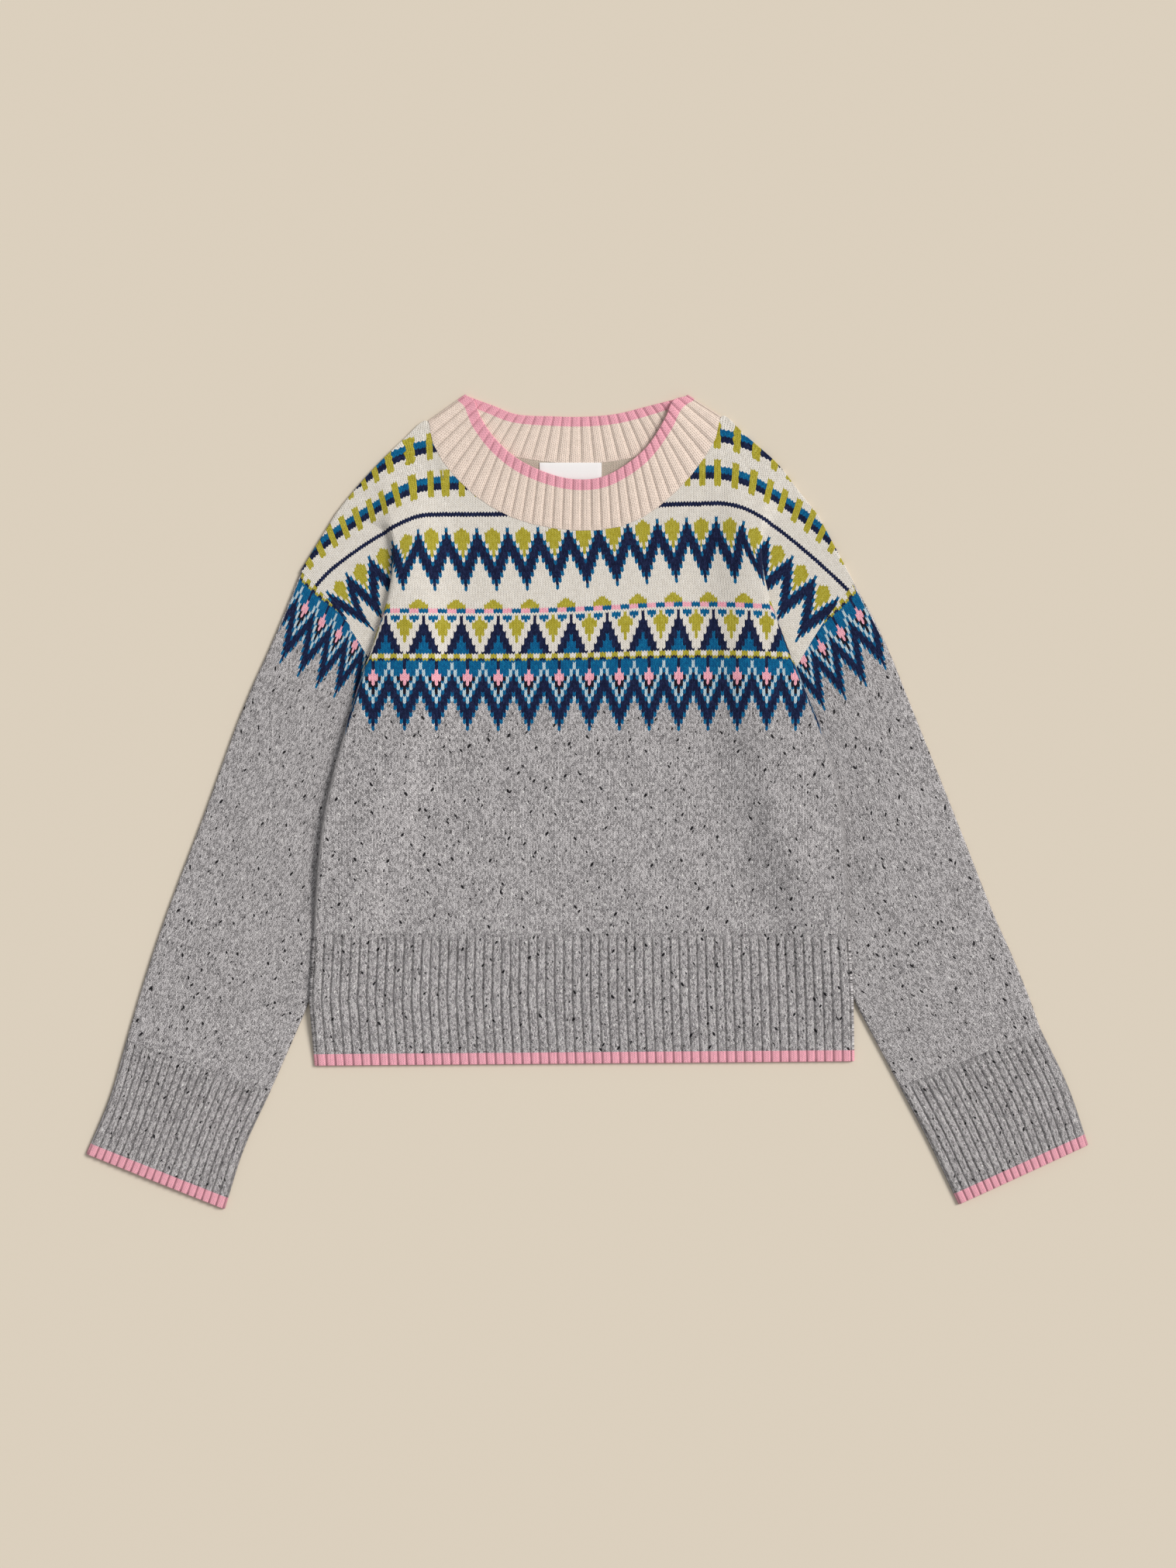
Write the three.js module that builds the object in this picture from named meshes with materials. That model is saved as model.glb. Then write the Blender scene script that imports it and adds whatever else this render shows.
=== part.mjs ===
import * as THREE from 'three';

// Fair isle jumper with dropped shoulders, laid flat with its front up.
// Millimetres, +Z up. The floor is z = 0 and the middle of the outline is x = y = 0.
// The body lies over the inner parts of both sleeves, so the front and the back are
// folded under along each side, from the apex of the fold down to the hem rib.

// Cloth
const WALL = 1.7;
const GAP = 0.3;
const LAYER_GAP = 0.36;
const PITCH = WALL + LAYER_GAP;
const RIB_RELIEF = 0.7;
const RIB_STITCHES = 3;
const FLOOR_LAYER = WALL / 2;
const UPPER_LAYER = FLOOR_LAYER + PITCH;

// The fold at each side: four more layers lie between the floor pair and the chest pair
const FOLD_RISE = 4 * PITCH;
const INNER_TURN = PITCH / 2;
const OUTER_TURN = INNER_TURN + PITCH;
const SIDE_TURN = PITCH;
const TUBE_TURN = PITCH / 2;
const SHARP_FROM = THREE.MathUtils.degToRad(10);
const SHARP_BY = THREE.MathUtils.degToRad(30);
const CHEST_SLOPE = 46;
const STACK_CLEARANCE = 10;

// Body
const CENTRE_X = -2.5;
const HEM_TOP_Y = -119;
const HEM_BOTTOM = { left: -238, right: -234 };
const HEM_RIBS = 60;
const HEM_BACK_STEPS = 48;
const UNDERARM_SHORT = 0.93;

// Neckband
const NECK_FRONT_RIBS = 33;
const NECK_BACK_RIBS = 25;
const NECK_ROWS = 2;
const NECK_STAND = 2.2;
const NECK_SEAM_GAP = 0.4;
const CORNER_SEAM_RISE = 1.6;
const NECK_RIB_SHOWS_WITHIN = 64;

// Sleeves and cuffs, with the faces along a tube, across its upper side and across its lower
const CUFF_RIBS = 19;
const SLEEVE_FACES = { rows: 12, top: 10, under: 5 };
const CUFF_FACES = { rows: 2, under: 6 };
const TUBE_TURN_STEPS = 4;
const SLEEVE_CROWN = 1.6;
const CROWN_REACH = 0.32;
const START_LINE_REACH = 0.3;
const LOOK_AHEAD = 0.01;

// Label inside the back of the neck, with the size tab below it
const LABEL = { x: -15, y: 297.9, width: 56, height: 15.6, thick: 1 };
const TAB = { x: -5, y: 277.8, width: 15, height: 24, thick: 1 };

const COLOURS = {
  oatmeal: 0xdcc7b4,
  cream: 0xd6cec6,
  grey: 0x9b9797,
  white: 0xf0ebe9,
};
const ROUGHNESS = { knit: 0.95, woven: 0.7 };

// Seams and folds of each side in plan. out is -1 on the left and 1 on the right. The
// armhole runs from the shoulder to the underarm, where the side seam begins.
const SIDES = {
  left: {
    out: -1,
    neckPoint: [-144.6, 343],
    collarPoint: [-110.3, 367.4],
    shoulder: [[-258, 208], [-245.4, 232.4], [-209.6, 280.7], [-170.5, 322], [-144.6, 343]],
    armhole: [[-258, 208], [-225.8, 172.9], [-198.5, 131.6], [-166.3, 76.3]],
    apex: [-172.6, 232.4],
    hemCorner: [-247, HEM_TOP_Y],
  },
  right: {
    out: 1,
    neckPoint: [121.5, 347.2],
    collarPoint: [90.7, 367.1],
    shoulder: [[240.5, 196.7], [226.5, 221.9], [208.3, 256.9], [190.8, 279.3], [170.5, 305.2],
      [121.5, 347.2]],
    armhole: [[240.5, 196.7], [215.3, 164.5], [188.7, 121.1], [161.4, 69.3]],
    apex: [155.8, 226],
    hemCorner: [236.6, HEM_TOP_Y],
  },
};

// The edge of the body that shows, from the apex of the fold to the hem's lower edge
const BODY_EDGE = [
  { y: 232, left: -172.6, right: 154.6 },
  { y: 192, left: -177.8, right: 161.4 },
  { y: 164, left: -185.0, right: 170.9 },
  { y: 129, left: -198.0, right: 185.2 },
  { y: 94, left: -209.7, right: 198.5 },
  { y: 59, left: -219.4, right: 214.2 },
  { y: 24, left: -230.0, right: 224.6 },
  { y: -11, left: -237.7, right: 230.4 },
  { y: -46, left: -242.8, right: 233.4 },
  { y: -116, left: -247.0, right: 236.5 },
  { y: -179, left: -250.6, right: 239.8 },
  { y: -238, left: -246.0, right: 241.2 },
];

// How high the side stack lifts the chest, as a share of FOLD_RISE
const LIFT = [
  { y: 294, share: 0 },
  { y: 240, share: 1 },
  { y: -72, share: 1 },
  { y: -112, share: 0.5 },
  { y: -184, share: 0.5 },
  { y: -236, share: 0 },
];

// Seams and free edges of the neckband between the two shoulder points
const NECK_SEAM_FRONT = [[-139.7, 326.2], [-129.9, 307.3], [-115.9, 290.5], [-99.1, 275.1], [-71.1, 258.3],
  [-38.9, 248.6], [1.8, 245.0], [36.4, 250.6], [64.4, 266.7], [90.0, 291.0], [101.2, 305.2], [114.5, 326.2]];
const NECK_SEAM_BACK = [[-110.3, 325.5], [-82.3, 315.7], [-42.4, 308.0], [-8.8, 305.9], [14.4, 306.6],
  [43.0, 311.5], [78.8, 323.0]];
const COLLAR_EDGE_FRONT = [[-103.2, 362.5], [-97.0, 347.2], [-85.0, 329.0], [-66.9, 311.5], [-47.3, 300.3],
  [-20.0, 291.2], [2.0, 290.0], [17.5, 293.5], [36.8, 304.5], [54.3, 319.9], [70.4, 345.1], [77.9, 361.4]];
const COLLAR_EDGE_BACK = [[-85.1, 357.0], [-64.8, 349.3], [-31.2, 347.2], [-1.8, 346.9], [25.6, 349.3],
  [54.3, 356.3]];

// Sleeve stations from the armhole to the cuff: outer edge, inner edge, and the share of
// the width, from the outer edge, that the body leaves uncovered
const SLEEVE_STATIONS = {
  left: [
    { outer: [-258.0, 207.9], inner: [-166.3, 76.3], open: 0.55 },
    { outer: [-281.1, 150.5], inner: [-181.7, 30.1], open: 0.62 },
    { outer: [-309.8, 85.4], inner: [-201.3, -29.4], open: 0.66 },
    { outer: [-346.9, -15.4], inner: [-226.5, -105.0], open: 0.82 },
    { outer: [-379.8, -102.2], inner: [-251.0, -180.6], open: 1 },
    { outer: [-398.7, -158.2], inner: [-268.8, -222.6], open: 1 },
    { outer: [-415.5, -214.9], inner: [-286.0, -261.8], open: 1 },
  ],
  right: [
    { outer: [240.5, 196.7], inner: [161.4, 69.3], open: 0.55 },
    { outer: [265.0, 151.9], inner: [174.0, 23.8], open: 0.6 },
    { outer: [292.3, 85.4], inner: [190.8, -35.7], open: 0.64 },
    { outer: [334.9, -21.0], inner: [213.2, -109.2], open: 0.8 },
    { outer: [367.2, -102.9], inner: [239.8, -177.1], open: 1 },
    { outer: [391.0, -156.8], inner: [262.9, -221.2], open: 1 },
    { outer: [409.2, -205.8], inner: [281.8, -256.9], open: 1 },
  ],
};
const CUFF_STATIONS = {
  left: [
    { outer: [-415.5, -214.9], inner: [-286.0, -261.8] },
    { outer: [-430.2, -265.3], inner: [-304.9, -301.0] },
    { outer: [-451.9, -317.5], inner: [-326.9, -367.5] },
  ],
  right: [
    { outer: [409.2, -205.8], inner: [281.8, -256.9] },
    { outer: [432.6, -254.0], inner: [307.0, -305.2] },
    { outer: [451.9, -309.4], inner: [335.0, -363.3] },
  ],
};

// Rows of the front and the back, from the neck and shoulder edge down to the hem rib.
// down is the share of the way down the chest, armhole the share of the way down the
// armhole seam, and ramp the length of the slope that turns into the fold at the apex.
const PANEL_ROWS = [
  { down: 0.0, armhole: 0.0, ramp: null },
  { down: 0.055, armhole: 0.15, ramp: 42 },
  { down: 0.11, armhole: 0.28, ramp: 20 },
  { down: 0.15, armhole: 0.38, ramp: 8 },
  { down: 0.178, armhole: 0.45, ramp: 3.6 },
  { down: 0.205, armhole: 0.51, ramp: 1.6 },
  { down: 0.245, armhole: 0.58, ramp: 0 },
  { down: 0.3, armhole: 0.68, ramp: 0 },
  { down: 0.37, armhole: 0.78, ramp: 0 },
  { down: 0.45, armhole: 0.88, ramp: 0 },
  { down: 0.535, armhole: UNDERARM_SHORT, ramp: 0 },
  { down: 0.65, armhole: 1, ramp: 0 },
  { down: 0.77, armhole: 1, ramp: 0 },
  { down: 0.89, armhole: 1, ramp: 0 },
  { down: 0.95, armhole: 1, ramp: 0 },
  { down: 1.0, armhole: 1, ramp: 0 },
];
const APEX_ROW = 6;
const UNDERARM_ROW = 10;
const FOLD_END_ROW = 13;

// Columns of each half of a panel, from the armhole seam to the centre
const COLUMNS = { shoulder: 4, turn: 4, under: 2, beforeNeck: 2, neck: 9 };
const FOOT_COLUMN = COLUMNS.shoulder;
const UNDER_END_COLUMN = FOOT_COLUMN + COLUMNS.turn;
const UNDER_START_COLUMN = UNDER_END_COLUMN + COLUMNS.under;
const CREST_COLUMN = UNDER_START_COLUMN + COLUMNS.turn;
const NECK_COLUMN = CREST_COLUMN + COLUMNS.beforeNeck;
const CENTRE_COLUMN = NECK_COLUMN + COLUMNS.neck;
const RAMP_ON_SHOULDER = { foot: 0.35, crest: 0.7 };

const lerp = THREE.MathUtils.lerp;
const clamp = THREE.MathUtils.clamp;
const smooth = (share) => THREE.MathUtils.smoothstep(share, 0, 1);

function mix(from, to, share) {
  return [lerp(from[0], to[0], share), lerp(from[1], to[1], share)];
}

function curveThrough(points) {
  const places = points.map(([x, y]) => new THREE.Vector3(x, y, 0));
  const curve = new THREE.CatmullRomCurve3(places, false, 'centripetal');
  return (share) => {
    const point = curve.getPointAt(clamp(share, 0, 1));
    return [point.x, point.y];
  };
}

// Straight-line reading of a table whose rows run down in y
function readTable(table, y, column) {
  if (y >= table[0].y) return table[0][column];
  for (let row = 1; row < table.length; row += 1) {
    const above = table[row - 1];
    const below = table[row];
    if (y >= below.y) return lerp(above[column], below[column], (above.y - y) / (above.y - below.y));
  }
  return table[table.length - 1][column];
}

function underarmOf(side) {
  return side.armhole[side.armhole.length - 1];
}

// The inner edge of what lies under the body at height y, on one side
function stackEdge(name, y) {
  const side = SIDES[name];
  const [apexX, apexY] = side.apex;
  const [armX, armY] = underarmOf(side);
  if (y > armY) return lerp(apexX, armX, clamp((apexY - y) / (apexY - armY), 0, 1));
  const stations = SLEEVE_STATIONS[name].map(({ inner }) => ({ y: inner[1], x: inner[0] }));
  return readTable(stations, y, 'x');
}

// How far the stack at one side lifts the body above the floor
function sideLift(name, x, y) {
  const { out } = SIDES[name];
  const plateau = stackEdge(name, y) - out * STACK_CLEARANCE;
  const inward = -out * (x - plateau);
  return FOLD_RISE * readTable(LIFT, y, 'share') * (1 - smooth(inward / CHEST_SLOPE));
}

function bodyLift(x, y) {
  return sideLift('left', x, y) + sideLift('right', x, y);
}

// A wall of even thickness about a grid of middle points, rows by columns. The outer side
// faces up where columns run to +X and rows to -Y. raise and raiseInner lift the points of
// one side into ribs, and present says which cells of the grid are cloth.
const level = () => 0;
function wall({ grid, closed = false, raise = level, raiseInner = level, present = () => true }) {
  const rows = grid.length;
  const columns = grid[0].length;
  const cellColumns = closed ? columns : columns - 1;
  const wrap = (i) => (closed ? (i + columns) % columns : i);
  const positions = [];
  const index = [];
  const made = new Map();

  const isCell = (j, i) => {
    if (j < 0 || j >= rows - 1) return false;
    if (!closed && (i < 0 || i >= cellColumns)) return false;
    return present(j, wrap(i));
  };
  const touchesCell = (j, i) => isCell(j, i) || isCell(j - 1, i) || isCell(j, i - 1) || isCell(j - 1, i - 1);
  const pick = (j, i) => {
    const column = closed ? wrap(i) : i;
    const real = j >= 0 && j < rows && column >= 0 && column < columns;
    return real && touchesCell(j, column) ? grid[j][column] : null;
  };
  const along = (before, here, after) => {
    const start = before || here;
    const end = after || here;
    return end.clone().sub(start);
  };
  const normalAt = (j, i) => {
    const here = grid[j][i];
    const across = along(pick(j, i - 1), here, pick(j, i + 1));
    const down = along(pick(j - 1, i), here, pick(j + 1, i));
    return down.cross(across).normalize();
  };
  const vertex = (j, i, outer) => {
    const column = wrap(i);
    const key = `${j} ${column} ${outer}`;
    if (!made.has(key)) {
      const reach = outer ? WALL / 2 + raise(j, column) : -WALL / 2 - raiseInner(j, column);
      const point = grid[j][column].clone().addScaledVector(normalAt(j, column), reach);
      made.set(key, positions.length / 3);
      positions.push(point.x, point.y, point.z);
    }
    return made.get(key);
  };
  const quad = (a, b, c, d) => index.push(a, b, c, a, c, d);

  for (let j = 0; j < rows - 1; j += 1) {
    for (let i = 0; i < cellColumns; i += 1) {
      if (!isCell(j, i)) continue;
      const corners = [[j, i], [j + 1, i], [j + 1, i + 1], [j, i + 1]];
      const neighbours = [[j, i - 1], [j + 1, i], [j, i + 1], [j - 1, i]];
      const outer = corners.map(([row, column]) => vertex(row, column, true));
      const inner = corners.map(([row, column]) => vertex(row, column, false));
      quad(outer[0], outer[1], outer[2], outer[3]);
      quad(inner[0], inner[3], inner[2], inner[1]);
      neighbours.forEach(([row, column], side) => {
        if (isCell(row, column)) return;
        const next = (side + 1) % corners.length;
        quad(outer[next], outer[side], inner[side], inner[next]);
      });
    }
  }
  const geometry = new THREE.BufferGeometry();
  geometry.setAttribute('position', new THREE.Float32BufferAttribute(positions, 3));
  geometry.setIndex(index);
  geometry.computeVertexNormals();
  return geometry;
}

// The way through a fold, seen in section. It leaves a level stretch, turns down by an
// angle on the first radius, runs straight and turns back to level on the second. lap is
// how far the lower stretch starts outside the crest (a slope) or inside it (a fold).
function foldPath(lap, firstTurn, lastTurn) {
  const turns = firstTurn + lastTurn;
  const angle = 2 * Math.atan2(turns, Math.max(lap, 0));
  const straight = Math.abs(lap);
  const lengths = [firstTurn * angle, straight, lastTurn * angle];
  const total = lengths[0] + lengths[1] + lengths[2];
  const at = (distance) => {
    const first = Math.min(distance, lengths[0]) / firstTurn;
    const middle = clamp(distance - lengths[0], 0, straight);
    const last = Math.max(distance - lengths[0] - straight, 0) / lastTurn;
    return {
      outward: firstTurn * Math.sin(first) + middle * Math.cos(angle)
        + lastTurn * (Math.sin(angle) - Math.sin(angle - last)),
      drop: firstTurn * (1 - Math.cos(first)) + middle * Math.sin(angle)
        + lastTurn * (Math.cos(angle - last) - Math.cos(angle)),
    };
  };
  const steps = 2 * COLUMNS.turn + COLUMNS.under;
  const sharpness = clamp((angle - SHARP_FROM) / (SHARP_BY - SHARP_FROM), 0, 1);
  const points = [];
  for (let step = 0; step <= steps; step += 1) {
    let byTurn = (lengths[0] * step) / COLUMNS.turn;
    if (step > COLUMNS.turn) byTurn = lengths[0] + (straight * (step - COLUMNS.turn)) / COLUMNS.under;
    if (step > COLUMNS.turn + COLUMNS.under) {
      const left = steps - step;
      byTurn = total - (lengths[2] * left) / COLUMNS.turn;
    }
    points.push(at(clamp(lerp((total * step) / steps, byTurn, sharpness), 0, total)));
  }
  return points;
}

// The neck edge of one side, from the shoulder point to the middle
function halfNeck(name, points) {
  const whole = curveThrough([SIDES.left.neckPoint, ...points, SIDES.right.neckPoint]);
  return (share) => whole(name === 'left' ? share / 2 : 1 - share / 2);
}

// Half of one row of a panel, from the armhole or side seam to the centre line
function halfRow(name, layer, rowIndex) {
  const side = SIDES[name];
  const row = PANEL_ROWS[rowIndex];
  const shoulder = curveThrough(side.shoulder);
  const neckEdge = halfNeck(name, rowIndex === 0 ? layer.neck : NECK_SEAM_FRONT);
  const apexShare = PANEL_ROWS[APEX_ROW].down;
  const settle = smooth(row.down / apexShare);
  const crestStart = shoulder(RAMP_ON_SHOULDER.crest);
  const crestY = lerp(crestStart[1], HEM_TOP_Y, row.down);
  const turn = rowIndex > FOLD_END_ROW ? SIDE_TURN : OUTER_TURN;
  const edgeX = readTable(BODY_EDGE, crestY, name) - side.out * (turn + WALL / 2);
  const crestX = lerp(crestStart[0], edgeX, settle);
  const crest = [crestX, crestY];
  const lift = FOLD_RISE * readTable(LIFT, crestY, 'share');
  const points = [];

  let foot = shoulder(RAMP_ON_SHOULDER.foot);
  let outward = [side.out, 0];
  if (rowIndex > 0) {
    const slope = new THREE.Vector2(foot[0] - crestStart[0], foot[1] - crestStart[1]).normalize();
    outward = mix([slope.x, slope.y], [side.out, 0], settle);
    const size = Math.hypot(outward[0], outward[1]);
    outward = [outward[0] / size, outward[1] / size];
    const folded = rowIndex >= APEX_ROW;
    const lap = folded ? side.out * (foldFoot(name, crestY) - crest[0]) : row.ramp;
    foot = [crest[0] + outward[0] * lap, crest[1] + outward[1] * lap];
  }

  const seam = curveThrough(side.armhole)(row.armhole);
  for (let i = 0; i < FOOT_COLUMN; i += 1) {
    const [x, y] = mix(seam, foot, i / COLUMNS.shoulder);
    points.push(new THREE.Vector3(x, y, layer.level));
  }

  const steps = CREST_COLUMN - FOOT_COLUMN;
  if (rowIndex === 0) {
    for (let step = steps; step >= 0; step -= 1) {
      const [x, y] = shoulder(lerp(RAMP_ON_SHOULDER.crest, RAMP_ON_SHOULDER.foot, step / steps));
      points.push(new THREE.Vector3(x, y, layer.level));
    }
  } else {
    const share = lift / FOLD_RISE;
    const lap = (foot[0] - crest[0]) * outward[0] + (foot[1] - crest[1]) * outward[1];
    const firstTurn = rowIndex > FOLD_END_ROW ? SIDE_TURN : layer.firstTurn * share;
    const path = foldPath(lap, firstTurn, layer.lastTurn * share);
    for (let step = steps; step >= 0; step -= 1) {
      const { outward: reach, drop } = path[step];
      points.push(new THREE.Vector3(crest[0] + outward[0] * reach, crest[1] + outward[1] * reach,
        layer.level + lift - drop));
    }
  }

  for (let i = CREST_COLUMN + 1; i <= CENTRE_COLUMN; i += 1) {
    const beforeNeck = lerp(RAMP_ON_SHOULDER.crest, 1, (i - CREST_COLUMN) / COLUMNS.beforeNeck);
    const top = i <= NECK_COLUMN ? shoulder(beforeNeck) : neckEdge((i - NECK_COLUMN) / COLUMNS.neck);
    const evenX = lerp(crest[0], CENTRE_X, (i - CREST_COLUMN) / (CENTRE_COLUMN - CREST_COLUMN));
    const x = lerp(top[0], evenX, settle);
    const y = lerp(top[1], HEM_TOP_Y, row.down);
    const lifted = rowIndex === 0 ? 0 : bodyLift(x, y);
    points.push(new THREE.Vector3(x, y, layer.level + lifted));
  }
  return points;
}

// The line where the folded-under cloth turns back out, or ends at the side seam
function foldFoot(name, y) {
  const { apex, hemCorner } = SIDES[name];
  const underarm = underarmOf(SIDES[name]);
  if (y > underarm[1]) return lerp(apex[0], underarm[0], (apex[1] - y) / (apex[1] - underarm[1]));
  return lerp(underarm[0], hemCorner[0], (underarm[1] - y) / (underarm[1] - hemCorner[1]));
}

function panel(layer) {
  const grid = PANEL_ROWS.map((row, j) => {
    const left = halfRow('left', layer, j);
    const right = halfRow('right', layer, j);
    return left.concat(right.slice(0, -1).reverse());
  });
  const last = 2 * CENTRE_COLUMN - 1;
  const present = (j, i) => {
    const column = Math.min(i, last - i);
    if (j >= FOLD_END_ROW) return column >= CREST_COLUMN - layer.edgeColumns;
    if (j >= UNDERARM_ROW) return column >= UNDER_END_COLUMN;
    return true;
  };
  return wall({ grid, present });
}

const LAYERS = {
  front: {
    level: UPPER_LAYER,
    firstTurn: OUTER_TURN,
    lastTurn: INNER_TURN,
    neck: NECK_SEAM_FRONT,
    edgeColumns: COLUMNS.turn / 2,
  },
  back: {
    level: FLOOR_LAYER,
    firstTurn: INNER_TURN,
    lastTurn: OUTER_TURN,
    neck: NECK_SEAM_BACK,
    edgeColumns: 0,
  },
};

// Outer rib profile: two raised stitches, then one sunk one
function ribRaise(step) {
  return step % RIB_STITCHES === 0 ? 0 : RIB_RELIEF;
}

function hemEdge(name, y, inset) {
  return readTable(BODY_EDGE, y, name) - SIDES[name].out * inset;
}

// Rows of the hem rib, as shares of its depth
const HEM_ROWS = [0, 0.56, 1];

function hemFront() {
  const turnSteps = COLUMNS.turn / 2;
  const ribSteps = HEM_RIBS * RIB_STITCHES;
  const grid = HEM_ROWS.map((down) => {
    const bottomY = (share) => lerp(HEM_BOTTOM.left, HEM_BOTTOM.right, share);
    const yAt = (share) => lerp(HEM_TOP_Y - GAP, bottomY(share), down);
    const left = hemEdge('left', yAt(0), SIDE_TURN + WALL / 2);
    const right = hemEdge('right', yAt(1), SIDE_TURN + WALL / 2);
    const turned = (x, share, out, step) => {
      const angle = (Math.PI / 2) * (step / turnSteps);
      const z = UPPER_LAYER + bodyLift(x, yAt(share)) - SIDE_TURN * (1 - Math.cos(angle));
      return new THREE.Vector3(x + out * SIDE_TURN * Math.sin(angle), yAt(share), z);
    };
    const points = [];
    for (let step = turnSteps; step > 0; step -= 1) points.push(turned(left, 0, -1, step));
    for (let step = 0; step <= ribSteps; step += 1) {
      const share = step / ribSteps;
      const x = lerp(left, right, share);
      points.push(new THREE.Vector3(x, yAt(share), UPPER_LAYER + bodyLift(x, yAt(share))));
    }
    for (let step = 1; step <= turnSteps; step += 1) points.push(turned(right, 1, 1, step));
    return points;
  });
  const raise = (j, i) => {
    const step = i - turnSteps;
    return step > 0 && step < ribSteps ? ribRaise(step) : 0;
  };
  return wall({ grid, raise });
}

function hemBack() {
  const grid = HEM_ROWS.map((down) => {
    const points = [];
    for (let step = 0; step <= HEM_BACK_STEPS; step += 1) {
      const share = step / HEM_BACK_STEPS;
      const y = lerp(HEM_TOP_Y - GAP, lerp(HEM_BOTTOM.left, HEM_BOTTOM.right, share), down);
      const left = hemEdge('left', y, SIDE_TURN + WALL / 2);
      const right = hemEdge('right', y, SIDE_TURN + WALL / 2);
      const x = lerp(left, right, share);
      points.push(new THREE.Vector3(x, y, FLOOR_LAYER + bodyLift(x, y)));
    }
    return points;
  });
  return wall({ grid });
}

// A tube pressed flat: the upper wall from the outer edge to the inner one, round the
// fold, back underneath and round the other fold. crown puffs up the part that shows.
function flatTube({ stations, rows, top, under, crown, endGaps, raise, startLine }) {
  const [firstStation] = stations;
  const outerEdge = curveThrough(stations.map(({ outer }) => outer));
  const innerEdge = curveThrough(stations.map(({ inner }) => inner));
  const openAt = (share) => {
    const place = share * (stations.length - 1);
    const first = Math.min(Math.floor(place), stations.length - 2);
    return lerp(stations[first].open ?? 1, stations[first + 1].open ?? 1, place - first);
  };
  const inset = TUBE_TURN + WALL / 2;
  const grid = [];
  for (let j = 0; j <= rows; j += 1) {
    const share = j / rows;
    const outer = outerEdge(share);
    const inner = innerEdge(share);
    const next = share < 1 ? LOOK_AHEAD : -LOOK_AHEAD;
    const aheadOuter = outerEdge(share + next);
    const aheadInner = innerEdge(share + next);
    const shift = (edge, ahead) => {
      const way = [(ahead[0] - edge[0]) / next, (ahead[1] - edge[1]) / next];
      const size = Math.hypot(way[0], way[1]);
      const move = (j === 0 ? endGaps[0] : 0) - (j === rows ? endGaps[1] : 0);
      return [edge[0] + (way[0] / size) * move, edge[1] + (way[1] / size) * move];
    };
    const from = shift(outer, aheadOuter);
    const to = shift(inner, aheadInner);
    const width = Math.hypot(to[0] - from[0], to[1] - from[1]);
    const across = [(to[0] - from[0]) / width, (to[1] - from[1]) / width];
    const at = (distance, z) => {
      const place = clamp(distance / width, 0, 1);
      const straight = mix(firstStation.outer, firstStation.inner, place);
      const line = startLine ? startLine(place) : straight;
      const fade = 1 - smooth(share / START_LINE_REACH);
      return new THREE.Vector3(
        from[0] + across[0] * distance + (line[0] - straight[0]) * fade,
        from[1] + across[1] * distance + (line[1] - straight[1]) * fade,
        z,
      );
    };
    const span = width - 2 * inset;
    const points = [];
    for (let i = 0; i < top; i += 1) {
      const place = i / top;
      const puff = crown(share) * Math.sin(Math.PI * clamp(place / openAt(share), 0, 1));
      points.push(at(inset + span * place, UPPER_LAYER + puff));
    }
    for (let i = 0; i < TUBE_TURN_STEPS; i += 1) {
      const angle = (Math.PI * i) / TUBE_TURN_STEPS;
      const reach = TUBE_TURN * Math.sin(angle);
      points.push(at(width - inset + reach, FLOOR_LAYER + TUBE_TURN * (1 + Math.cos(angle))));
    }
    for (let i = 0; i < under; i += 1) points.push(at(width - inset - (span * i) / under, FLOOR_LAYER));
    for (let i = 0; i < TUBE_TURN_STEPS; i += 1) {
      const angle = (Math.PI * i) / TUBE_TURN_STEPS;
      const reach = TUBE_TURN * Math.sin(angle);
      points.push(at(inset - reach, FLOOR_LAYER + TUBE_TURN * (1 - Math.cos(angle))));
    }
    grid.push(points);
  }
  return { grid, raise };
}

// Right-hand tubes run the other way round, so their columns are reversed
function tubeGeometry(name, shape) {
  const { grid, raise } = shape;
  if (name === 'left') return wall({ grid, raise, closed: true });
  const count = grid[0].length;
  const reversed = grid.map((row) => row.slice().reverse());
  const mirrored = raise ? (j, i) => raise(j, count - 1 - i) : undefined;
  return wall({ grid: reversed, raise: mirrored, closed: true });
}

// The armhole seam in the straight steps that the front and back take along it
function armholeSteps(name) {
  const seam = curveThrough(SIDES[name].armhole);
  const stops = [...PANEL_ROWS.slice(0, UNDERARM_ROW + 1).map(({ armhole }) => armhole), 1];
  return (share) => {
    const next = Math.max(stops.findIndex((stop) => stop >= share), 1);
    const start = stops[next - 1];
    return mix(seam(start), seam(stops[next]), (share - start) / (stops[next] - start));
  };
}

function sleeve(name) {
  return tubeGeometry(name, flatTube({
    stations: SLEEVE_STATIONS[name],
    ...SLEEVE_FACES,
    crown: (share) => SLEEVE_CROWN * smooth(share / CROWN_REACH),
    endGaps: [GAP * 1.5, 0],
    startLine: armholeSteps(name),
  }));
}

function cuff(name) {
  const top = CUFF_RIBS * RIB_STITCHES;
  return tubeGeometry(name, flatTube({
    stations: CUFF_STATIONS[name],
    ...CUFF_FACES,
    top,
    crown: (share) => lerp(SLEEVE_CROWN, SLEEVE_CROWN / 2, share),
    endGaps: [GAP, 0],
    raise: (j, i) => (i < top ? ribRaise(i) : 0),
  }));
}

// The seam of the neckband follows the straight steps of the panel's neck edge
function neckSeam(points, start, end) {
  const whole = curveThrough([SIDES.left.neckPoint, ...points, SIDES.right.neckPoint]);
  const steps = 2 * COLUMNS.neck;
  return (share) => {
    if (share <= 0) return start;
    if (share >= 1) return end;
    const place = share * steps;
    const first = Math.floor(place);
    return mix(whole(first / steps), whole((first + 1) / steps), place - first);
  };
}

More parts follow.
